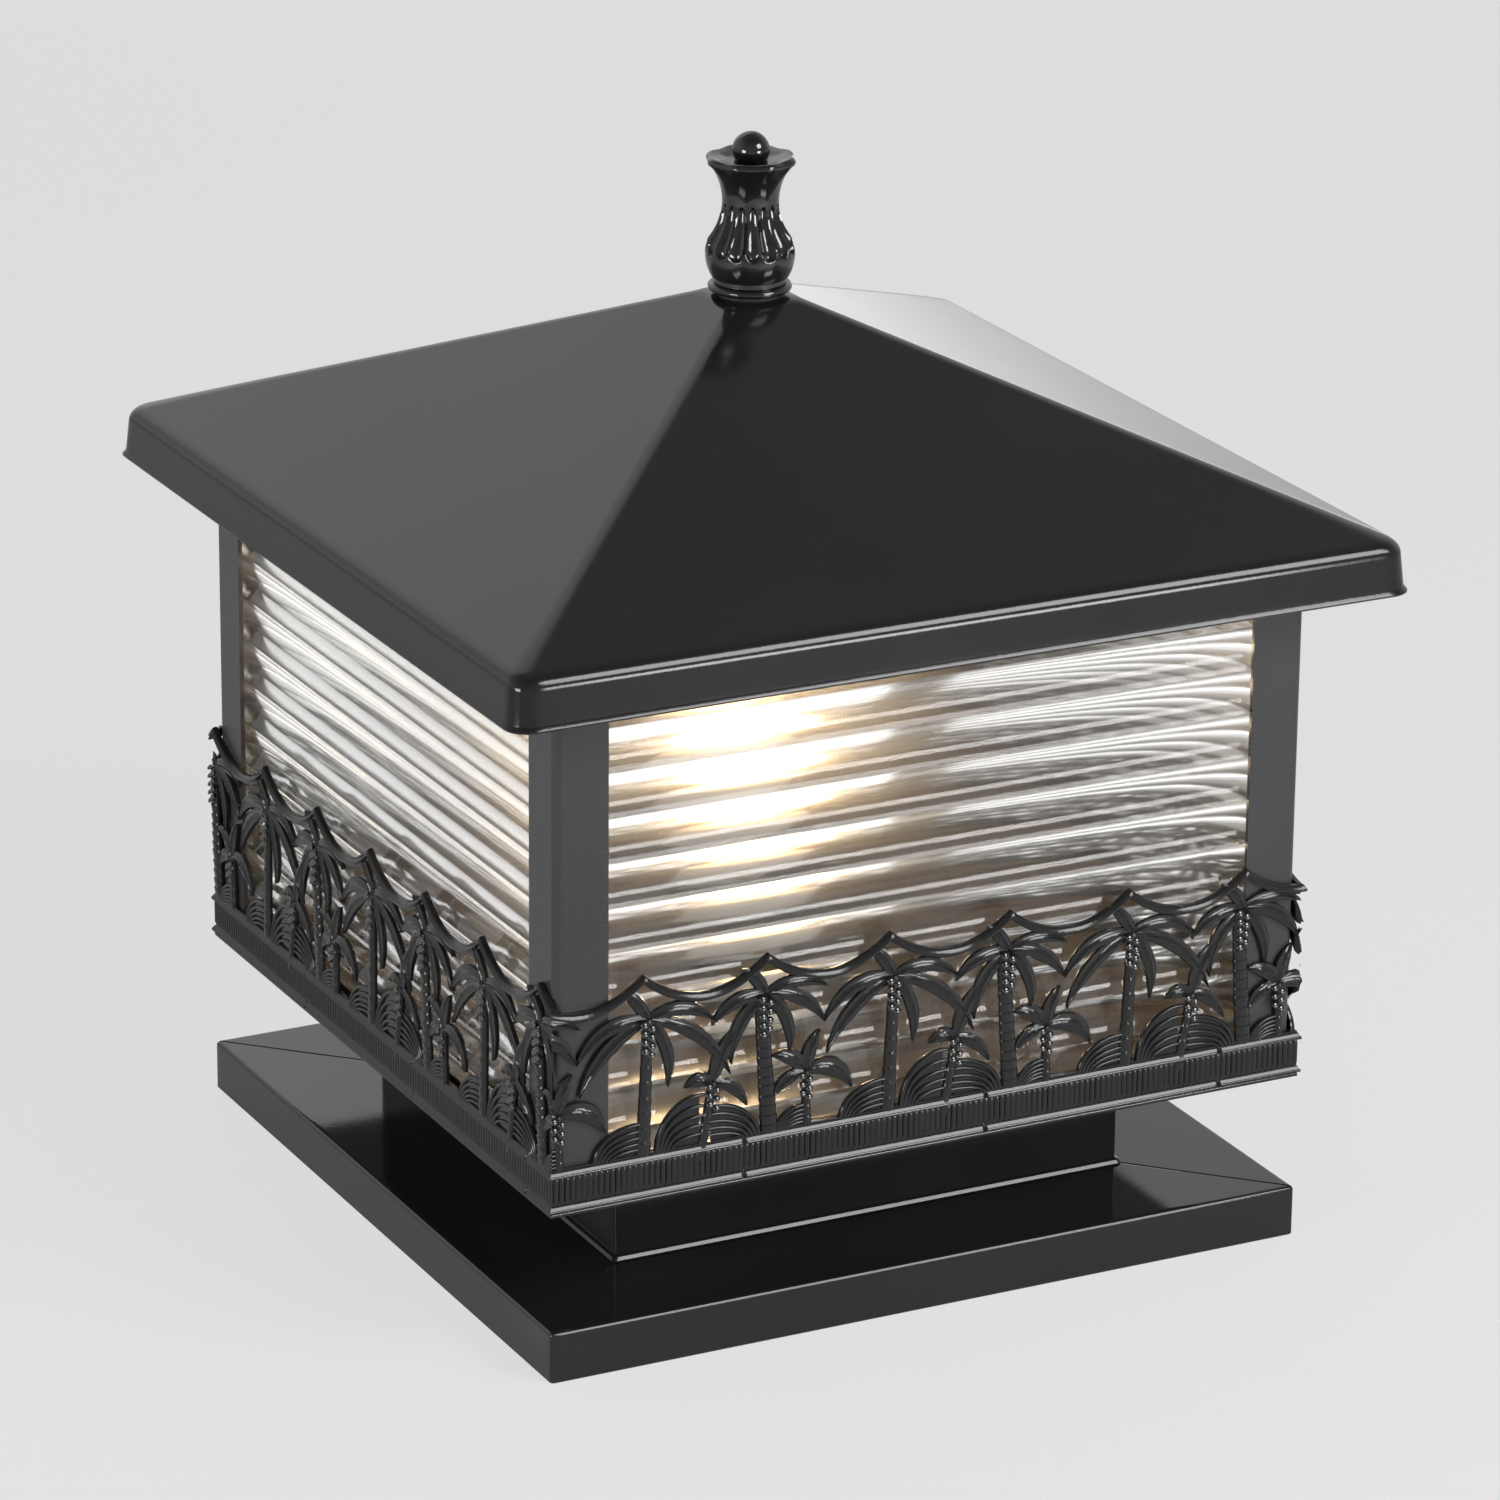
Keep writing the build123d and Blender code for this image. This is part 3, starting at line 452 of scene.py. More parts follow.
def roof_outline(inset):
    """Half width and height of the sheet's face from lip to top: leaning lip, round shoulder, slope.

    The shoulder's arc touches the lip and the slope; its centre lies one radius inside both.
    """
    drop = inset * math.sqrt(1 + SLOPE ** 2)
    radius = SHOULDER - inset
    lean = math.atan(FLARE)
    pitch = math.atan(SLOPE)
    rise = (EAVE_Z - LIP_LOW - drop + SLOPE * inset) / (1 - SLOPE * FLARE)
    corner_half = LIP_HALF - inset - FLARE * rise
    corner_z = LIP_LOW + rise
    turn = math.pi / 2 - pitch - lean
    reach = radius * math.tan(turn / 2)
    low_half = corner_half + reach * math.sin(lean)
    low_z = corner_z - reach * math.cos(lean)
    angle = np.linspace(lean, math.pi / 2 - pitch, 9)
    centre_half = low_half - radius * math.cos(lean)
    centre_z = low_z - radius * math.sin(lean)
    top = ROOF_TOP - inset
    top_half = LIP_HALF - (top - EAVE_Z + drop) / SLOPE
    end_half = centre_half + radius * np.cos(angle[-1])
    share = np.array([0.01, 0.04, 0.12, 0.25, 0.4, 0.55, 0.7, 0.83, 0.93, 0.98, 1.0])
    lip_share = np.array([0, 0.25, 0.6, 0.9, 0.99])
    lip_half = LIP_HALF - inset + (low_half - LIP_HALF + inset) * lip_share
    lip_z = LIP_LOW + (low_z - LIP_LOW) * lip_share
    end_z = centre_z + radius * np.sin(angle[-1])
    half = np.concatenate([lip_half, centre_half + radius * np.cos(angle),
                           end_half + (top_half - end_half) * share])
    z = np.concatenate([lip_z, centre_z + radius * np.sin(angle), end_z + (top - end_z) * share])
    return half, z


def roof_canopy():
    """Sheet roof: outer face up from a rolled hem, flat top round the stud's hole, inner face down again.

    Its corners tighten over the eave from the lip's radius to the hips', and the hole is round.
    """
    outer_half, outer_z = roof_outline(0)
    inner_half, inner_z = roof_outline(SHEET)
    hem_half = LIP_HALF + np.array([-0.2, 0.45, 0.7, 0.7, 0.0, -0.12])
    hem_z = LIP_LOW + np.array([0, 0.1, 0.35, 0.7, 1.78, 1.9])
    keep = outer_z > LIP_LOW + HEM_TOP
    hole_half = [HOLE_RING, STUD_HOLE, STUD_HOLE, HOLE_RING]
    hole_z = [ROOF_TOP, ROOF_TOP, ROOF_TOP - SHEET, ROOF_TOP - SHEET]
    half = np.concatenate([hem_half, outer_half[keep], hole_half, inner_half[::-1]])
    z = np.concatenate([hem_z, outer_z[keep], hole_z, inner_z[::-1]])
    height = smooth(EAVE_Z - 4, EAVE_Z + 14, z)
    corner = LIP_CORNER + (HIP_CORNER - LIP_CORNER) * height
    corner = np.where(half < ROUND_WITHIN, half, corner)
    return square_shell(half, z, corner)


piece("roof_canopy", roof_canopy(), "roof", roof_paint, ["roof_shell"], crease=28)


# Finial and collar

FOOT_Z = 292.19
FOOT_RADIUS = 11.2
FOOT_HEIGHT = 1.6
BELLY_RADIUS = 13.85
BELLY_HEIGHT = 8.9
LOW_ARC = 14.51
HIGH_ARC = 8.70
WAIST_RADIUS = 8.75
WAIST_HEIGHT = 25.1
WAIST_ARC = 19.575
WAIST_FROM = 13.89
VASE_HEIGHT = 36.9
LOBES = 8
LOBE_REACH = 0.4
RIM_MIDDLE = 12.35
RIM_HEIGHT = 38.2
RIM_ROLL = 1.4
BALL_RADIUS = 5.8
BALL_HEIGHT = 41.3
COLLAR_LOW = 289.49
COLLAR_EDGE = 1.25
COLLAR_MIDDLE = 11.75


def arc_reach(radius, offset):
    """Distance from a circle's middle line out to its edge at an offset along the line; 0 past its ends."""
    return np.sqrt(np.maximum(radius ** 2 - offset ** 2, 0))


def vase_radius(z):
    """Belly, waist and flare as three touching arcs, from the foot's level."""
    low = BELLY_RADIUS - LOW_ARC + arc_reach(LOW_ARC, z - BELLY_HEIGHT)
    belly = BELLY_RADIUS - HIGH_ARC + arc_reach(HIGH_ARC, z - BELLY_HEIGHT)
    waist = WAIST_RADIUS + WAIST_ARC - arc_reach(WAIST_ARC, z - WAIST_HEIGHT)
    return np.where(z < BELLY_HEIGHT, low, np.where(z < WAIST_FROM, belly, waist))


def finial_vase():
    """Vase with sixteen hollow flutes from belly to waist, a rolled eight-lobed rim and a ball on top.

    The flutes sink the radius by a power of the absolute cosine of eight times the angle, so that narrow
    ridges stand between flat hollows with steep walls; they end in round arches. The lobes push the rim
    out by the cosine of eight times the angle.
    """
    around = 320
    angle = np.linspace(0, TAU, around, endpoint=False)[None, :]
    z = np.linspace(0, VASE_HEIGHT, 130)[:, None]
    lobe = np.cos(LOBES * angle)
    hollow = np.abs(lobe) ** 0.7
    begun = smooth(11.6 - 2.6 * hollow, 12.6 - 2.6 * hollow, z)
    ended = smooth(20.6 + 3.6 * hollow, 21.8 + 3.6 * hollow, z)
    fluted = vase_radius(z) * (1 + begun * (1 - ended) * (0.015 - 0.135 * hollow))
    side = fluted + LOBE_REACH * lobe * smooth(33.0, VASE_HEIGHT, z)
    side = np.where(z < FOOT_HEIGHT, FOOT_RADIUS + 0 * angle, side)
    roll = np.radians(np.linspace(-40, 100, 13))[:, None]
    rim = RIM_MIDDLE + RIM_ROLL * np.cos(roll) + LOBE_REACH * lobe
    rim_z = RIM_HEIGHT + RIM_ROLL * np.sin(roll) + 0.12 * lobe
    dish = np.linspace(0.97, 0.02, 12)[:, None]
    dish_z = 39.5 - 1.4 * smooth(1.0, 0.5, dish) + 0.12 * lobe * smooth(0.7, 1.0, dish)
    radius = np.concatenate([side[:1] * 0.01, side, rim, rim[-1:] * dish])
    height = np.concatenate([0 * side[:1], z + 0 * angle, rim_z, dish_z])
    vase = lofted(turned(radius, height + FOOT_Z, around))
    turn = np.linspace(-0.5 * math.pi, 0.5 * math.pi, 28)
    ball_z = FOOT_Z + BALL_HEIGHT + BALL_RADIUS * np.sin(turn)
    ball = lofted(turned(BALL_RADIUS * np.cos(turn) + 0.001, ball_z, 48))
    return [vase, ball]


def collar_ring():
    """Ring with a full round edge under the finial."""
    turn = np.linspace(-0.5 * math.pi, 0.5 * math.pi, 15)
    top = 2 * COLLAR_EDGE
    radius = np.concatenate([[STUD_HOLE, HOLE_RING], COLLAR_MIDDLE + COLLAR_EDGE * np.cos(turn),
                             [HOLE_RING, STUD_HOLE, STUD_HOLE]])
    height = np.concatenate([[0, 0], COLLAR_EDGE + COLLAR_EDGE * np.sin(turn), [top, top, 0]])
    rings = turned(radius, height + COLLAR_LOW, 72)
    return [(rings.reshape(-1, 3), grid_faces(*rings.shape[:2]), np.zeros((0, 3), int))]


piece("finial_vase", finial_vase(), "finial", finial_paint, ["finial"], crease=60)
piece("collar_ring", collar_ring(), "roof", finial_paint, ["roof_collar"], crease=60)


# Panes

GLASS_FACE = 124.1
GLASS_BACK = 118.1
PANE_HALF = 117.3
PANE_LOW = 57.0
PANE_TOP = 231.7
FLUTES = 12
FLUTE_PITCH = 14.1
FLUTE_DEPTH = 2.0
FIRST_RIDGE = 61.8


def fluted_pane(side):
    """Pane as rectangles stacked upwards; the outer face is hollowed by one circular arc per flute."""
    share = np.linspace(0, 1, 17)[:-1]
    across = np.append((np.arange(FLUTES)[:, None] + share[None, :]).ravel(), FLUTES)
    z = np.concatenate([[PANE_LOW], FIRST_RIDGE + FLUTE_PITCH * across, [PANE_TOP]])
    offset = FLUTE_PITCH * (across % 1 - 0.5)
    bend = ((FLUTE_PITCH / 2) ** 2 + FLUTE_DEPTH ** 2) / (2 * FLUTE_DEPTH)
    hollow = np.sqrt(bend ** 2 - offset ** 2) - (bend - FLUTE_DEPTH)
    out = GLASS_FACE - np.concatenate([[0], hollow, [0]])
    x = np.array([-1, 1, 1, -1])[None, :] * PANE_HALF + 0 * z[:, None]
    y = -np.stack([out, out, 0 * out + GLASS_BACK, 0 * out + GLASS_BACK], 1)
    return [lofted(quarter_turned(np.stack([x, y, z[:, None] + 0 * x], -1), side))]


def quarter_turned(points, count):
    """Points turned about the axis by quarter turns."""
    cos, sin = round(math.cos(count * TAU / 4)), round(math.sin(count * TAU / 4))
    x, y, z = points[..., 0], points[..., 1], points[..., 2]
    return np.stack([cos * x - sin * y, sin * x + cos * y, z], -1)


for side, count in SIDES.items():
    piece("pane_" + side, fluted_pane(count), "lantern_body", pane_glass,
          ["glass_pane_" + side], crease=40, weld=False)


# Palm friezes

STRIP_HALF = 128.9
STRIP_LENGTH = 257.8
STRIP_BACK = 125.9
STRIP_LOW = 53.5
CAST_BACK = 0.4
REPEAT = 82.0
PALM_PITCH = 41.0
FIRST_PALM = 31.4
BAND_TOP = 15.0
BAND_PITCH = 1.85
LEDGES = (1.4, 12.3)
NOTCH_AT = 33.0
PEAK = 72.0
SAG = 8.5


def frond(root, tip, bow, width):
    """Leaf: a midrib bowed as a parabola, a half width that swells and runs out to a point.

    Across, the face is crowned, with a raised midrib and slanted leaflet folds; the back is flat.
    """
    s = np.linspace(0, 1, 19)[:, None]
    t = np.array([-1, -0.86, -0.6, -0.3, -0.13, 0, 0.13, 0.3, 0.6, 0.86, 1])[None, :]
    root, tip = np.array(root, float), np.array(tip, float)
    run = tip - root
    length = np.hypot(*run)
    normal = np.array([-run[1], run[0]]) / length
    middle = root + run * s + normal * (4 * bow * s * (1 - s))
    along = run + normal * (4 * bow * (1 - 2 * s))
    along /= np.hypot(along[:, :1], along[:, 1:])
    half = width * (0.24 + 1.15 * s * (1 - s)) * np.sqrt(np.clip(1.0005 - s ** 3, 0, 1))
    fold = 0.15 * np.sin(TAU * (length / 2.6 * s - 1.3 * np.abs(t))) * (1 - t ** 4)
    face = 1.2 + 0.5 * np.sin(math.pi * s) + 0.3 * (1 - t ** 2) + 0.5 * np.exp(-(t / 0.17) ** 2) + fold
    face = np.where(np.abs(t) == 1, 0.85, face)
    across = np.concatenate([t + 0 * s, 0 * s + 0.95, 0 * s - 0.95], 1)
    back = 0 * s + CAST_BACK
    depth = np.concatenate([face, back, back], 1)
    u = middle[:, :1] - along[:, 1:] * half * across
    h = middle[:, 1:] + along[:, :1] * half * across
    return np.stack([u, h, depth], -1)


def trunk(foot, crown, foot_half, crown_half, rings):
    """Trunk: half round, tapering, with leaf-scar rings as a saw wave along it."""
    s = np.linspace(0, 1, 8 * rings + 1)[:, None]
    turn = np.linspace(0, math.pi, 9)[None, :]
    half = foot_half + (crown_half - foot_half) * s ** 0.8
    scar = 0.14 * ((s * rings) % 1)
    across = np.concatenate([np.cos(turn) + 0 * s, 0 * s - 0.95, 0 * s + 0.95], 1)
    back = 0 * s + CAST_BACK
    depth = np.concatenate([1.0 + (1.15 + 3.2 * scar) * np.sin(turn), back, back], 1)
    u = foot[0] + (crown[0] - foot[0]) * s + half * (1 + scar) * across
    h = foot[1] + (crown[1] - foot[1]) * s + 0 * across
    return np.stack([u, h, depth], -1)


def coconut(u, h, radius, depth=2.5):
    """Nut seated in the leaves: a ball flattened along a line that looks outwards and up.

    Its rings run from back to front.
    """
    turn = np.linspace(-0.49 * math.pi, 0.49 * math.pi, 8)[:, None]
    angle = np.linspace(0, TAU, 12, endpoint=False)[None, :]
    tilt = math.radians(31)
    slope = radius * np.cos(turn) * np.sin(angle)
    out = 0.4 * radius * np.sin(turn) + 0 * angle
    return np.stack([u + radius * np.cos(turn) * np.cos(angle),
                     h + math.cos(tilt) * slope + math.sin(tilt) * out,
                     depth - math.sin(tilt) * slope + math.cos(tilt) * out], -1)


def fern(inner, outer, top):
    """Low fern: blades fan from one foot and bend over to the trunk at their inner side, on a thin web.

    Each blade is a round rib along a quarter ellipse, thick at its foot and thin at its tip; the lower
    blades are much flatter than the top one and a little shorter.
    """
    made = []
    reach = outer - inner
    rise = top - BAND_TOP + 1
    turn = np.linspace(0, 0.54 * math.pi, 17)[:, None]
    around = np.linspace(0, math.pi, 7)[None, :]
    for wide, tall in ((1.0, 1.0), (0.92, 0.79), (0.84, 0.59), (0.76, 0.41), (0.68, 0.24)):
        half = 0.9 - 0.22 * turn
        across = np.concatenate([np.cos(around) + 0 * turn, 0 * turn - 0.9, 0 * turn + 0.9], 1)
        back = 0 * turn + CAST_BACK
        depth = np.concatenate([1.0 + 1.3 * half * np.sin(around), back, back], 1)
        out = abs(reach) * wide + half * across
        up = rise * tall + half * across
        made.append(np.stack([inner + math.copysign(1, reach) * out * np.cos(turn),
                              BAND_TOP - 1 + up * np.sin(turn), depth], -1))
    ring = np.linspace(0, 0.5 * math.pi, 14)
    web = np.stack([np.append(inner + reach * np.cos(ring), inner),
                    np.append(BAND_TOP - 1 + rise * np.sin(ring), BAND_TOP - 1)], -1)
    made.append(np.stack([np.concatenate([web, np.full((len(web), 1), d)], 1) for d in (CAST_BACK, 0.95)]))
    return made


def palm_repeat(slim, stout, young, small):
    """One repeat of the strip from its crowns: a slim palm, a stout ringed palm, two young palms and ferns.

    A frond's row is its crown, its tip, its bow and its width.
    """
    foot = BAND_TOP - 1
    fronds = [
        (slim, (-22.0, 47.0), -4.5, 5.0), (slim, (-21.0, 36.5), -3.5, 5.0), (slim, (24.0, 53.0), 4.0, 5.0),
        (slim, (29.0, 35.0), 4.5, 5.0), (slim, (8.0, 35.0), 3.0, 4.5), (slim, (-7.0, 67.5), -1.0, 4.5),
        (stout, (22.5, 52.0), -3.0, 5.0), (stout, (29.0, 38.5), -3.5, 5.0), (stout, (32.5, 68.0), -1.0, 4.5),
        (stout, (61.5, 58.0), 3.0, 4.5), (stout, (60.5, 46.5), 3.5, 5.0), (stout, (48.5, 39.0), 3.0, 4.5),
        (young, (13.5, 33.5), -1.5, 5.0), (young, (30.5, 50.0), 1.0, 5.5), (young, (34.5, 24.0), 2.0, 4.5),
        (small, (42.5, 38.5), -2.0, 5.5), (small, (43.0, 25.0), -2.0, 4.5), (small, (69.6, 23.6), 4.0, 6.5),
        (small, (58.5, 44.5), 1.0, 5.0),
    ]
    made = [trunk((0, foot), slim, 2.3, 1.5, 9), trunk((42.0, foot), (38.8, 58.0), 2.8, 2.0, 14),
            trunk((18.8, 9.5), young, 1.6, 1.2, 5), trunk((54.5, foot), small, 1.5, 1.2, 5)]
    made += [frond(*row) for row in fronds]
    for inner, outer, top in ((18.6, 4.4, 30.4), (22.6, 38.2, 26.0), (80.0, 66.0, 24.5), (53.2, 44.5, 21.0)):
        made += fern(inner, outer, top)
    return made


def nut_repeat(slim, stout, young, small):
    """Nuts of one repeat: each crown's bunch hangs down its trunk, left and right in turn."""
    made = []
    for crown, count, radius in ((slim, 8, 1.3), (stout, 9, 1.3), (young, 6, 1.15), (small, 6, 1.15)):
        for k in range(count):
            aside = (1 if k % 2 else -1) * (1.3 - 0.05 * k)
            made.append(coconut(crown[0] - 0.5 + aside, crown[1] - 1.0 - 1.4 * k, radius))
    return made


def foot_band(start):
    """Fluted band between two ledges, as upright sections along the strip.

    The flutes follow the absolute sine along the strip, fading at both ends; each ledge has an upright
    face and a sloped top, with a narrow notch once a repeat.
    """
    u = np.linspace(-1.0, STRIP_LENGTH + 1.0, 1000)[:, None]
    h = np.array([0, 0.2, 0.9, 1.4, 1.55, 2.1, 2.5, 3.0, 3.5, 3.6, 4.2, 4.8, 5.4, 7.0, 8.6, 10.2, 11.4, 12.0,
                  12.3, 12.45, 13.0, 13.5, 14.0, 14.4, 14.5, BAND_TOP])[None, :]
    step = np.array([0, 0.15, 0.7, 2.1, 2.2])
    ledge = sum(np.interp(h, low + step, [0, 1.15, 1.15, 0.24, 0]) for low in LEDGES)
    notch = np.exp(-((((u - start - NOTCH_AT) + REPEAT / 2) % REPEAT - REPEAT / 2) / 0.4) ** 2)
    flute = np.abs(np.sin(math.pi * (u - start) / BAND_PITCH)) ** 0.6
    field = smooth(3.7, 4.6, h) * (1 - smooth(11.4, 12.2, h))
    face = 1.7 + 0.75 * flute * field - 0.35 * field + ledge * (1 - 0.8 * notch)
    face = np.where(h < 1.0, 2.1, face)
    around = np.concatenate([h + 0 * u, 0 * u + BAND_TOP, 0 * u], 1)
    depth = np.concatenate([face, 0 * u, 0 * u], 1)
    return np.stack([u + 0 * around, around, depth], -1)


def swag_rail(start):
    """Top rail that sags between its peaks as parabolas: a sloped ledge above a flat strip."""
    first = start % PALM_PITCH - PALM_PITCH
    along = np.linspace(0, PALM_PITCH, 29)[:-1]
    u = np.concatenate([first + PALM_PITCH * k + along for k in range(9)])[:, None]
    share = ((u - first) / PALM_PITCH) % 1
    top = PEAK - 4 * SAG * share * (1 - share)
    up = 0 * u + np.array([-3.2, -3.2, -2.3, -2.1, -1.5, -0.9, -0.2, 0, 0])
    depth = 0 * u + np.array([CAST_BACK, 1.3, 1.4, 2.7, 2.9, 2.6, 2.1, 1.7, CAST_BACK])
    return np.stack([u + 0 * up, top + up, depth], -1)


def repeated(start, skins):
    """Skins of one repeat set along the strip, past the mitres at both ends."""
    count = math.floor(-start / REPEAT) - 1
    return [ring + np.array([start + k * REPEAT, 0, 0]) for k in range(count, count + 7) for ring in skins]


def upright(side, skins):
    """Skins drawn along the strip, stood up on one side; those wholly past its ends are left out."""
    laid = []
    for ring in skins:
        along, up, depth = ring[..., 0], ring[..., 1], ring[..., 2]
        if along.max() < 0.1 or along.min() > STRIP_LENGTH - 0.1:
            continue
        spot = np.stack([along - STRIP_HALF, -(STRIP_BACK + depth), up + STRIP_LOW], -1)
        laid.append(lofted(quarter_turned(spot, side)))
    return laid


CROWNS = ((1.5, 57.5), (40.5, 59.0), (23.0, 34.0), (54.0, 32.0))
palms, nuts = palm_repeat(*CROWNS), nut_repeat(*CROWNS)
for side, count in SIDES.items():
    start = FIRST_PALM - count * STRIP_LENGTH
    mitres = quarter_turned(np.array([[1, 1, 0], [-1, 1, 0]]), count).tolist()
    strip = [foot_band(start), swag_rail(start)] + repeated(start, palms)
    piece("frieze_" + side, upright(count, strip), "lantern_body", cast_paint,
          ["palm_frieze_" + side], crease=45, weld=False, cuts=mitres)
    piece("nuts_" + side, upright(count, repeated(start, nuts)), "lantern_body", nut_paint, [],
          crease=60, weld=False, cuts=mitres)


# Lamp and threads

GLOBE_RADIUS = 22.5
GLOBE_Z = 137.2
BULB_NECK = 12.5
BULB_NECK_LOW = 104.4


def threaded(radius, low, high, pitch, depth, around, bore=0.0):
    """Screw thread: the radius dips once a pitch along a helix, and runs out over one pitch at both ends."""
    z = np.linspace(low, high, max(int((high - low) / pitch * 8), 16))[:, None]
    angle = np.linspace(0, TAU, around, endpoint=False)[None, :]
    groove = 0.5 - 0.5 * np.cos(TAU * z / pitch - angle)
    fade = smooth(low, low + pitch, z) * (1 - smooth(high - pitch, high, z))
    side = radius - depth * (1 - fade) - depth * groove * fade
    if not bore:
        return [lofted(turned(side, z, around))]
    inner = np.full((1, around), bore)
    radius = np.concatenate([inner, side, inner, inner])
    height = np.concatenate([z[:1], z, z[-1:], z[:1]])
    rings = turned(radius, height, around)
    return [(rings.reshape(-1, 3), grid_faces(*rings.shape[:2]), np.zeros((0, 3), int))]


def bulb_glass():
    """Globe on a short neck: a sphere that runs down into the cap."""
    turn = np.linspace(0.5 * math.pi, -0.98, 44)
    radius = np.concatenate([GLOBE_RADIUS * np.cos(turn) + 0.001, [BULB_NECK, BULB_NECK, 0.01]])
    height = np.concatenate([GLOBE_Z + GLOBE_RADIUS * np.sin(turn), [117.0, BULB_NECK_LOW, BULB_NECK_LOW]])
    return [lofted(turned(radius, height, 64))]


piece("bulb_glass", bulb_glass(), "bulb", opal, ["bulb_globe"], crease=70)
piece("bulb_screw_cap", threaded(radius=13.1, low=87.4, high=108.3, pitch=3.629, depth=0.7, around=56),
      "bulb", bulb_metal, ["bulb_cap"], crease=70)
piece("threaded_stud", threaded(radius=4.0, low=211.5, high=302.19, pitch=1.25, depth=0.45, around=32),
      "lantern_body", zinc, ["roof_stud"], crease=70)
piece("threaded_rod", threaded(radius=5.0, low=2.0, high=72.3, pitch=1.0, depth=0.4, around=32, bore=3.6),
      "lantern_body", zinc, ["hollow_rod"], crease=70)


# Stage, light and camera

FLOOR_GLOW = 0.80
FLOOR_REACH = 9.0
# Middle of the painted shadow on the floor, seen only through glass.
PAINTED_SHADOW_AT = (0.32, 0.16, 0.0)
PANEL_AT = (0.05, 0.84, 0.54)
AZIMUTH = math.radians(-26.975)
ELEVATION = math.radians(19.82)
ROLL = math.radians(0.522)
AIM = np.array([1.519, 0, 138.89])
DISTANCE = 2231
FOCAL_LENGTH = 170.59


def flat_floor():
    """Wide pale floor at the pillar's top level; through glass it shows a painted shadow of the lantern
    beside it.
    """
    mesh = bpy.data.meshes.new("floor")
    corners = [(FLOOR_REACH * x, FLOOR_REACH * y, 0) for x, y in ((-1, -1), (1, -1), (1, 1), (-1, 1))]
    mesh.from_pydata(corners, [], [(0, 1, 2, 3)])
    skin = material("floor_pale")
    cloud = skin.noise(3.0)
    grey = skin.mix(cloud, (0.70, 0.70, 0.70), (0.72, 0.72, 0.72))
    lit = skin.node("ShaderNodeBsdfDiffuse", sockets={"Color": grey})
    away = skin.node("ShaderNodeVectorMath", {"operation": "DISTANCE"}, {0: skin.place(), 1: PAINTED_SHADOW_AT},
                     out="Value")
    open_floor = skin.node("ShaderNodeMapRange", {"interpolation_type": "SMOOTHSTEP"},
                           {"Value": away, "From Min": 0.15, "From Max": 0.48})
    through = skin.node("ShaderNodeLightPath", out="Is Transmission Ray")
    plain = (FLOOR_GLOW, FLOOR_GLOW, FLOOR_GLOW)
    # Painted shadow: seen through glass, the floor is a dark warm grey near the lantern's side, fading to
    # white away from it.
    painted_shadow_through_glass = skin.mix(open_floor, (0.34, 0.32, 0.30), (1.0, 1.0, 1.0))
    glow = skin.node("ShaderNodeEmission", sockets={"Color": skin.mix(through, plain, painted_shadow_through_glass)})
    both = skin.node("ShaderNodeMixShader", sockets={0: glow_share(skin), 1: lit, 2: glow})
    skin.node("ShaderNodeOutputMaterial", sockets={"Surface": both})
    mesh.materials.append(skin.owner)
    floor = bpy.data.objects.new("floor", mesh)
    bpy.context.scene.collection.objects.link(floor)


def glow_share(skin):
    """Share of the floor's glow: most where seen straight or through glass, less where gloss shows it."""
    seen = skin.node("ShaderNodeLightPath", out="Is Camera Ray")
    through = skin.node("ShaderNodeLightPath", out="Is Transmission Ray")
    gloss = skin.node("ShaderNodeLightPath", out="Is Glossy Ray")
    straight = seen.math("MAXIMUM", seen, through)
    return seen.math("MAXIMUM", straight * 0.82, gloss * 0.32)


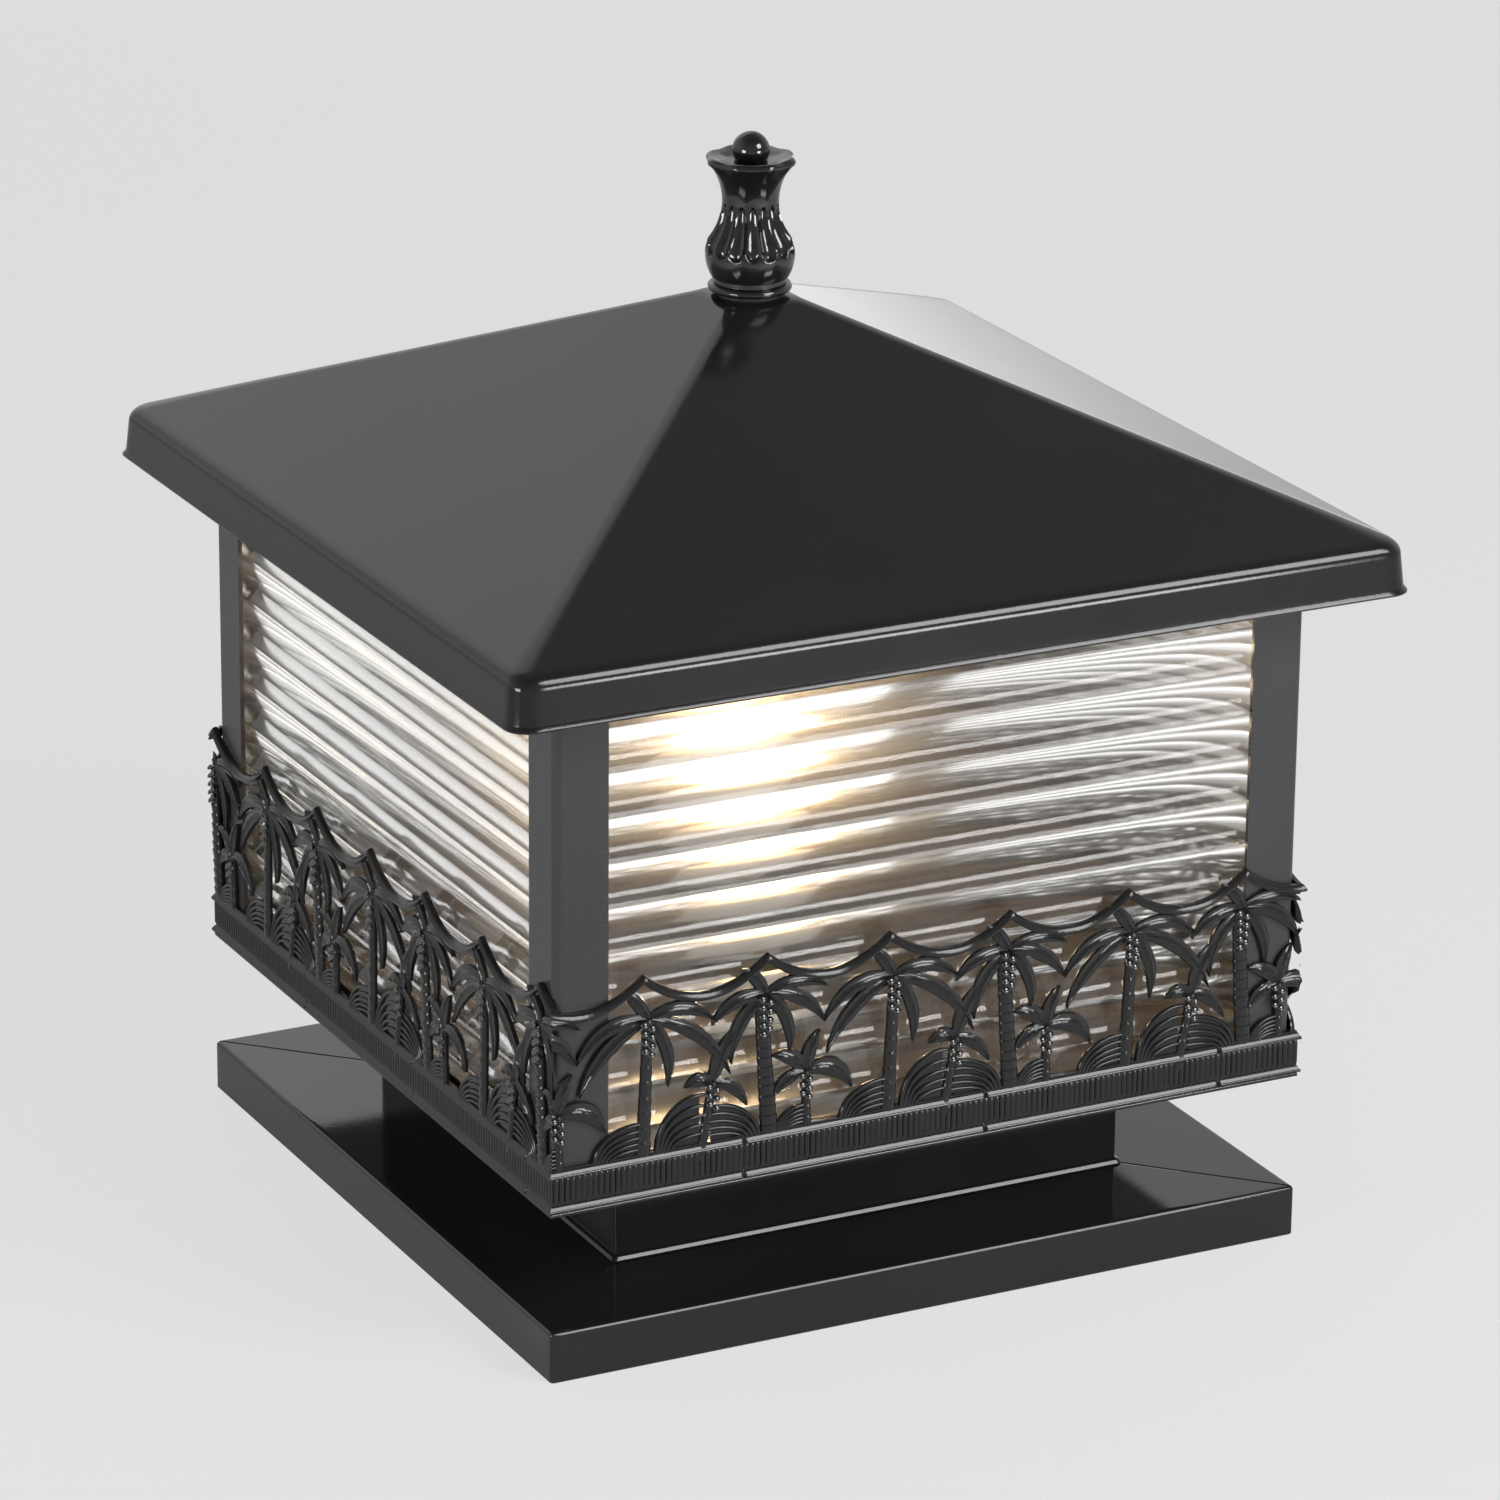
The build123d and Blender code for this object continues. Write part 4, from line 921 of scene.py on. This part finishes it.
def sky():
    """Pale surroundings, darker overhead and in front, with a brighter panel high behind."""
    world = bpy.data.worlds.new("studio")
    bpy.context.scene.world = world
    skin = Finish(world)
    way = skin.node("ShaderNodeTexCoord", out="Generated")
    up = skin.node("ShaderNodeSeparateXYZ", sockets={0: way}, out="Z")
    greys = ((0.0, 0.74), (0.40, 0.74), (0.55, 0.60), (0.84, 0.28), (1.0, 0.24))
    stops = [(at, (grey, grey, grey)) for at, grey in greys]
    shade = skin.node("ShaderNodeValToRGB", {"stops": stops}, {"Fac": up})
    facing = skin.node("ShaderNodeVectorMath", {"operation": "DOT_PRODUCT"}, {0: way, 1: PANEL_AT},
                       out="Value")
    panel = skin.node("ShaderNodeMapRange", {"interpolation_type": "SMOOTHSTEP"},
                      {"Value": facing, "From Min": 0.88, "From Max": 0.96})
    ahead = skin.node("ShaderNodeSeparateXYZ", sockets={0: way}, out="Y")
    behind = skin.node("ShaderNodeMapRange", {"interpolation_type": "SMOOTHSTEP"},
                       {"Value": ahead, "From Min": -0.35, "From Max": 0.25, "To Min": 0.45, "To Max": 1.0})
    both = skin.mix(panel, shade, (1.05, 1.05, 1.05))
    glow = skin.node("ShaderNodeBackground", sockets={"Color": both, "Strength": behind})
    skin.node("ShaderNodeOutputWorld", sockets={"Surface": glow})


def softbox(name, place, aim, width, height, watts):
    """Rectangular lamp that looks at a point."""
    lamp = bpy.data.lights.new(name, "AREA")
    lamp.shape = "RECTANGLE"
    lamp.size = width
    lamp.size_y = height
    lamp.energy = watts
    made = bpy.data.objects.new(name, lamp)
    made.location = place
    made.visible_camera = False
    made.rotation_euler = (Vector(aim) - Vector(place)).to_track_quat("-Z", "Y").to_euler()
    bpy.context.scene.collection.objects.link(made)


def camera():
    """Camera at the photograph's place: azimuth, elevation, roll, distance and aim."""
    back = np.array([math.sin(AZIMUTH) * math.cos(ELEVATION), -math.cos(AZIMUTH) * math.cos(ELEVATION),
                     math.sin(ELEVATION)])
    right = np.array([math.cos(AZIMUTH), math.sin(AZIMUTH), 0])
    up = np.cross(back, right)
    across = math.cos(ROLL) * right + math.sin(ROLL) * up
    upward = math.cos(ROLL) * up - math.sin(ROLL) * right
    eye = AIM * MM + back * DISTANCE * MM
    lens = bpy.data.cameras.new("camera")
    lens.sensor_width = 36.0
    lens.lens = FOCAL_LENGTH
    made = bpy.data.objects.new("camera", lens)
    pose = np.eye(4)
    pose[:3] = np.stack([across, upward, back, eye], 1)
    made.matrix_world = Matrix(pose.tolist())
    bpy.context.scene.collection.objects.link(made)
    bpy.context.scene.camera = made


flat_floor()
sky()
softbox("right_high", place=(0.60, -1.04, 0.95), aim=(0, 0, 0.15), width=0.6, height=0.5, watts=11.5)
softbox("right_low", place=(0.42, -1.02, 0.24), aim=(0, 0, 0.20), width=0.34, height=0.18, watts=3.6)
softbox("left_low", place=(-1.04, -0.36, 0.31), aim=(0, 0, 0.20), width=0.40, height=0.24, watts=4.6)
softbox("rim", place=(1.08, 1.68, 0.16), aim=(0, 0, 0.20), width=1.2, height=0.3, watts=1.4)
camera()
bpy.context.scene.view_settings.view_transform = "Standard"
